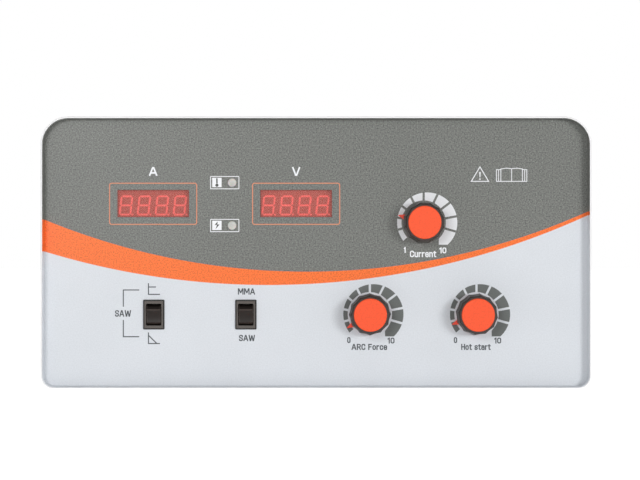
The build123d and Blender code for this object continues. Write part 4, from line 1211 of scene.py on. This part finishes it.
class PANEL_OT_etch_tracks(PieceOperator, Operator):
    """Add the tracks under the board's mask and the white component outlines"""

    bl_idname = "panel_looks.etch_tracks"
    bl_label = "Etch the tracks"

    def build(self, sizes, colours, stage):
        self.etch(colours)
        self.print_outlines()

    def etch(self, colours):
        """Bundles of tracks between the headers, the chips, the power parts and a switch."""
        sheet = Sheet(BOARD_REAR_Y, facing=1)
        harness, supply, sink = middle("harness_header"), middle("supply_header"), middle("heat_sink")
        switch = middle("switch_housing_process")
        chips = sorted(solids_of("integrated_circuits"), key=lambda box: box[0].x)
        driver_a, processor, driver_b = [(low + high) / 2 for low, high in chips]
        pin_pitch, supply_pitch, lead_pitch = 2.54 * MM, 3.96 * MM, 0.8 * MM
        past_leads = 9.2 * MM
        for i in range(10):
            self.track(sheet, (harness.x + (i - 4.5) * pin_pitch, harness.z - 5.4 * MM),
                       (processor.x + (i - 4.5) * lead_pitch, processor.z + past_leads))
        for i in range(6):
            self.track(sheet, (driver_b.x - 11.5 * MM, driver_b.z + (i - 2.5) * 1.1 * MM),
                       (processor.x + past_leads, processor.z + (i - 2.5) * lead_pitch), sideways=True)
            self.track(sheet, (driver_a.x + (i - 2.5) * pin_pitch, driver_a.z - 7 * MM),
                       (processor.x - (26.5 - 1.1 * i) * MM, processor.z - 26 * MM))
        for i in range(3):
            self.track(sheet, (processor.x + (i - 1) * lead_pitch, processor.z - past_leads),
                       (switch.x + (i - 1) * 2 * MM, processor.z - 29 * MM))
            self.track(sheet, (supply.x + (i - 1) * supply_pitch, supply.z - 6 * MM),
                       (sink.x + (i - 1) * pin_pitch, sink.z + 14 * MM))
        mask = plastic("Masked copper", shade(colours.board, 1.7), roughness=0.3, depth=0.004)
        sheet.printed("board_tracks", mask, 0.035 * MM, "board_laminate")

    @staticmethod
    def track(sheet, start, end, sideways=False):
        """A track that runs straight, at 45 degrees across the middle, and straight again."""
        width = 0.36 * MM
        if sideways:
            start, end = start[::-1], end[::-1]
        halfway, slant = (start[1] + end[1]) / 2, abs(end[0] - start[0]) / 2
        toward = 1 if end[1] > start[1] else -1
        points = [start, (start[0], halfway - toward * slant), (end[0], halfway + toward * slant), end]
        sheet.stroke([point[::-1] if sideways else point for point in points], width)

    def print_outlines(self):
        """A white outline round each of the larger parts."""
        sheet = Sheet(BOARD_REAR_Y, facing=1)
        gap, line = 0.6 * MM, 0.18 * MM
        boxes = [*solids_of("integrated_circuits"), *solids_of("trimmers")]
        boxes += [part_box(node) for node in ("harness_header", "supply_header", "heat_sink")]
        for low, high in boxes:
            sheet.frame(high.x - low.x + 2 * gap, high.z - low.z + 2 * gap, 0.3 * MM, line,
                        flat_middle(low, high))
        for low, high in solids_of("electrolytic_capacitors"):
            centre, radius = flat_middle(low, high), (high.x - low.x) / 2
            sheet.band(circle_outline(radius + gap, centre), circle_outline(radius + gap - 0.2 * MM, centre))
        legend = ink("Board legend", linear(232, 232, 226))
        sheet.printed("board_outlines", legend, 0.02 * MM, "board_laminate")


class PANEL_OT_place_chips(PieceOperator, Operator):
    """Add the chips' leads and the rows of small resistors and capacitors"""

    bl_idname = "panel_looks.place_chips"
    bl_label = "Place the small parts"

    TALLER = ("integrated_circuits", "voltage_regulator", "heat_sink", "electrolytic_capacitors", "trimmers",
              "harness_header", "supply_header", "leads_and_pins", "pot_terminals", "switch_terminals",
              "board_screws", "washers")
    # rows of small parts, in millimetres: the first place, how many, the step, and the turn in half circles
    ROWS = (((-50, 8), 5, (0, -3.4), 0), ((-84, 8), 5, (0, -3.4), 0), ((-78, -20), 5, (3.6, 0), 0.5),
            ((-130, 4), 6, (4.2, 0), 0.5), ((-34, 0), 8, (4.2, 0), 0.5), ((18, 26), 9, (4.0, 0), 0.5),
            ((18, 20), 6, (4.0, 0), 0.5), ((82, -14), 9, (4.4, 0), 0.5), ((20, -30), 4, (0, -3.6), 0),
            ((-90, -40), 5, (0, -4.0), 0), ((-20, -40), 6, (0, -4.0), 0), ((84, -50), 5, (4.2, 0), 0.5),
            ((-4, 58), 6, (0, -3.4), 0), ((140, 20), 8, (0, -4.4), 0))

    def build(self, sizes, colours, stage):
        tin = metal("Lead tin", TIN, streak=0.2)
        self.chip_leads(tin)
        self.small_parts(tin)

    def chip_leads(self, tin):
        """The leads of the square processor, on all its sides, and of the long drivers, on two."""
        longest_square = 15 * MM
        chips = solids_of("integrated_circuits")
        square = [(low, high) for low, high in chips if high.x - low.x < longest_square]
        long = [(low, high) for low, high in chips if high.x - low.x >= longest_square]
        # the chips, the turns of their sides in half circles, the leads' pitch and width, and their shape
        kinds = {
            "driver_leads": (long, (0.5, 1.5), 1.27, 0.42,
                             [(-0.3, 1.15), (0.35, 1.15), (0.75, 0.12), (1.4, 0.12)]),
            "processor_leads": (square, (0, 0.5, 1, 1.5), 0.8, 0.3,
                                [(-0.3, 0.75), (0.25, 0.75), (0.55, 0.1), (1.1, 0.1)])}
        for name, (boxes, turns, pitch, width, shape) in kinds.items():
            places = [place for box in boxes for place in self.lead_places(*box, turns, pitch * MM)]
            strip = bent_strip([(x * MM, y * MM) for x, y in shape], width * MM, 0.18 * MM)
            set_out(name, strip, places, tin)

    @staticmethod
    def lead_places(low, high, turns, pitch):
        """Where a chip's leads leave it, as points and turns about Y."""
        middle_x, middle_z = flat_middle(low, high)
        end_margin = 1.2 * MM
        places = []
        for turn in turns:
            away = Vector((cos(turn * pi), 0, -sin(turn * pi)))
            side = Vector((away.z, 0, -away.x))
            across, along = high.x - low.x, high.z - low.z
            if turn % 1:
                across, along = along, across
            count = int((along - end_margin) / pitch)
            for i in range(count):
                shift = (i - (count - 1) / 2) * pitch
                place = Vector((middle_x, BOARD_REAR_Y, middle_z)) + away * across / 2 + side * shift
                places.append((place, turn * pi))
        return places

    def small_parts(self, tin):
        """Resistors and capacitors in turn along each row, left out where a taller part stands."""
        places = [(Vector(((x + i * dx) * MM, BOARD_REAR_Y, (z + i * dz) * MM)), turn * pi)
                  for (x, z), count, (dx, dz), turn in self.ROWS for i in range(count)]
        taken = [box for node in self.TALLER for box in solids_of(node)]
        places = [place for place in places if self.is_clear(place[0], taken)]
        half_length, half_width, height, end = 0.75 * MM, 0.6 * MM, 0.55 * MM, 0.2 * MM
        lap, seat = 0.04 * MM, 0.02 * MM
        body = blocks([((-half_length, seat, -half_width), (half_length, height, half_width))], 0.06 * MM)
        reach = half_length + end / 2
        ends = blocks([((side * reach - end, 0, -half_width - lap),
                        (side * reach + end, height + 0.05 * MM, half_width + lap)) for side in (-1, 1)],
                      0.05 * MM)
        glaze = plastic("Resistor glaze", linear(34, 34, 38), roughness=0.3)
        ceramic = plastic("Ceramic", linear(168, 138, 100), roughness=0.5)
        set_out("chip_resistors", body, places[::2], glaze, unevenness=0.03, seed=11)
        set_out("chip_capacitors", body, places[1::2], ceramic, unevenness=0.03, seed=12)
        set_out("chip_ends", ends, places, tin, unevenness=0.03, seed=13)

    @staticmethod
    def is_clear(place, boxes):
        """Whether a place on the board keeps its distance from every box."""
        margin = 2.6 * MM
        return not any(low.x - margin < place.x < high.x + margin
                       and low.z - margin < place.z < high.z + margin for low, high in boxes)


class PANEL_OT_cap_parts(PieceOperator, Operator):
    """Add the capacitors' vented ends, the regulator's screw and legs, and the inserts' threads"""

    bl_idname = "panel_looks.cap_parts"
    bl_label = "Finish the larger parts"

    def build(self, sizes, colours, stage):
        self.capacitor_ends()
        self.regulator()
        self.threads()

    def capacitor_ends(self):
        """A rolled aluminium end on each capacitor, with a cross-shaped vent."""
        aluminium = metal("Capacitor end", linear(206, 207, 208), streak=0.4)
        under, rim, half_cut = 0.2 * MM, 0.04 * MM, 0.12 * MM
        for i, (low, high) in enumerate(solids_of("electrolytic_capacitors")):
            radius = (high.x - low.x) / 2
            x, z = flat_middle(low, high)
            centre = Vector((x, high.y, z))
            disc = turned([(0, -under), (0.86 * radius, -under), (0.86 * radius, rim),
                           (0.8 * radius, 0.1 * MM), (0.74 * radius, rim), (0, rim)], steps=28)
            set_out(f"capacitor_end_{i}", disc, [(centre, 0.0)], aluminium)
            arm = 0.62 * radius
            vents = blocks([((-arm, 0, -half_cut), (arm, 0.12 * MM, half_cut)),
                            ((-half_cut, 0, -arm), (half_cut, 0.13 * MM, arm))], 0.03 * MM)
            set_out(f"capacitor_vent_{i}", vents, [(centre, 0.6)], aluminium)

    def regulator(self):
        """The screw that holds the regulator to its heat sink, and its three legs."""
        low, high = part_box("voltage_regulator")
        x, tab_y, leg_pitch = middle("heat_sink").x, low.y + 1.3 * MM, 2.54 * MM
        zinc = metal("Screw zinc", ZINC, streak=0.25)
        screw = turned([(0, -0.3 * MM), (2.7 * MM, -0.3 * MM), (2.8 * MM, 0.9 * MM), (2.3 * MM, 1.7 * MM),
                        (1.3 * MM, 2.0 * MM), (0.9 * MM, 1.2 * MM), (0, 1.2 * MM)], steps=28)
        set_out("regulator_screw", screw, [((x, tab_y, high.z - 3 * MM), 0.0)], zinc)
        leg = bent_strip([(-0.3 * MM, 2.0 * MM), (3.0 * MM, 2.0 * MM), (3.6 * MM, 1.4 * MM),
                          (3.6 * MM, -1.6 * MM)], 0.8 * MM, 0.5 * MM)
        legs = [((x + i * leg_pitch, low.y, low.z), pi / 2) for i in (-1, 0, 1)]
        set_out("regulator_legs", leg, legs, metal("Leg tin", TIN))

    def threads(self):
        """Turns of thread inside each mounting insert."""
        first, pitch, turns = 1.0 * MM, 0.75 * MM, 9
        root, crest, half_height = 1.66 * MM, 1.4 * MM, 0.3 * MM
        ring = turned([(root, -half_height), (root, half_height), (crest, 0)], steps=20)
        rings = []
        for low, high in solids_of("mounting_inserts"):
            x, z = flat_middle(low, high)
            rings += [((x, low.y + first + pitch * i, z), 0.0) for i in range(turns)]
        set_out("insert_threads", ring, rings, metal("Thread brass", BRASS))


class PANEL_OT_light_stage(PieceOperator, Operator):
    """Set up the floor, the lights and the camera"""

    bl_idname = "panel_looks.light_stage"
    bl_label = "Light the stage"

    def build(self, sizes, colours, stage):
        self.floor()
        self.world(stage.room)
        target = Vector((0, FACE_Y, 0))
        # each light's place from the panel's middle, its side, and its power
        lights = {"Key": ((1.75, -2.4, 0.1), 0.8, stage.key_power),
                  "Fill": ((-0.6, -1.6, 0.38), 0.55, stage.fill_power)}
        for name, (place, side, power) in lights.items():
            self.lamp(name, target + Vector(place), target, side, power)
        camera = bpy.data.objects.new("Camera", bpy.data.cameras.new("Camera"))
        bpy.context.scene.collection.objects.link(camera)
        camera.location = (stage.centre_x, FACE_Y - stage.distance, stage.centre_z)
        camera.rotation_euler = (pi / 2, 0, 0)
        camera.data.lens = camera.data.sensor_width * stage.distance / stage.frame_width
        camera.data.clip_end = 50
        bpy.context.scene.camera = camera
        bpy.context.scene.view_settings.view_transform = "Standard"

    def floor(self):
        """A pale floor that the panel's lower edge stands on."""
        half, low = 6.0, cad_low.z
        mesh = bpy.data.meshes.new("floor")
        mesh.from_pydata([(-half, -half, low), (half, -half, low), (half, half, low), (-half, half, low)], [],
                         [(0, 1, 2, 3)])
        floor = bpy.data.objects.new("floor", mesh)
        bpy.context.scene.collection.objects.link(floor)
        material, nodes, shader, place = new_material("Pale floor")
        tone = nodes.mix(nodes.noise(place, 0.4), (0.90, 0.90, 0.90), (0.93, 0.93, 0.93))
        nodes.put(shader.inputs["Base Color"], tone)
        nodes.put(shader.inputs["Emission Color"], tone)
        seen = nodes.add("ShaderNodeLightPath").outputs["Is Camera Ray"]
        nodes.put(shader.inputs["Emission Strength"], nodes.math("MULTIPLY_ADD", seen, 0.6, 0.35))
        shader.inputs["Roughness"].default_value = 0.9
        shader.inputs["Specular IOR Level"].default_value = 0.1
        mesh.materials.append(material)

    def world(self, strength):
        """An even white room: full white where it is looked at, and softer as a light."""
        world = bpy.data.worlds.new("Room")
        world.use_nodes = True
        bpy.context.scene.world = world
        nodes = Nodes(world.node_tree)
        seen = nodes.add("ShaderNodeLightPath").outputs["Is Camera Ray"]
        level = nodes.math("MULTIPLY_ADD", seen, 1.0 - strength, strength)
        background = world.node_tree.nodes["Background"]
        background.inputs["Color"].default_value = (1, 1, 1, 1)
        nodes.put(background.inputs["Strength"], level)

    def lamp(self, name, place, target, size, power):
        """A square soft light that faces the panel."""
        light = bpy.data.lights.new(name, "AREA")
        light.size = size
        light.energy = power
        obj = bpy.data.objects.new(name, light)
        bpy.context.scene.collection.objects.link(obj)
        obj.location = place
        obj.rotation_euler = (target - place).to_track_quat("-Z", "Y").to_euler()


OPERATORS = (
    PANEL_OT_light_stage,
    PANEL_OT_mould_fascia,
    PANEL_OT_print_film,
    PANEL_OT_print_frames,
    PANEL_OT_print_dials,
    PANEL_OT_print_lettering,
    PANEL_OT_print_marks,
    PANEL_OT_fit_displays,
    PANEL_OT_fit_lamps,
    PANEL_OT_fit_knobs,
    PANEL_OT_fit_switches,
    PANEL_OT_fit_pots,
    PANEL_OT_finish_board,
    PANEL_OT_solder_leads,
    PANEL_OT_etch_tracks,
    PANEL_OT_place_chips,
    PANEL_OT_cap_parts,
)


class PANEL_PT_looks(Panel):
    """Lists the steps in the sidebar."""

    bl_label = "Control panel"
    bl_idname = "PANEL_PT_looks"
    bl_space_type = "VIEW_3D"
    bl_region_type = "UI"
    bl_category = "Control panel"

    def draw(self, context):
        for operator in OPERATORS:
            self.layout.operator(operator.bl_idname)


SETTINGS = {"panel_print": PrintSettings, "panel_colours": ColourSettings, "panel_stage": StageSettings}


def register():
    for group in SETTINGS.values():
        bpy.utils.register_class(group)
    for name, group in SETTINGS.items():
        setattr(bpy.types.Scene, name, PointerProperty(type=group))
    for operator in OPERATORS:
        bpy.utils.register_class(operator)
    bpy.utils.register_class(PANEL_PT_looks)


def unregister():
    bpy.utils.unregister_class(PANEL_PT_looks)
    for operator in reversed(OPERATORS):
        bpy.utils.unregister_class(operator)
    for name, group in SETTINGS.items():
        delattr(bpy.types.Scene, name)
        bpy.utils.unregister_class(group)


def main():
    """Builds every step in order."""
    register()
    for operator in OPERATORS:
        group, name = operator.bl_idname.split(".")
        getattr(getattr(bpy.ops, group), name)()


if __name__ == "__main__":
    main()
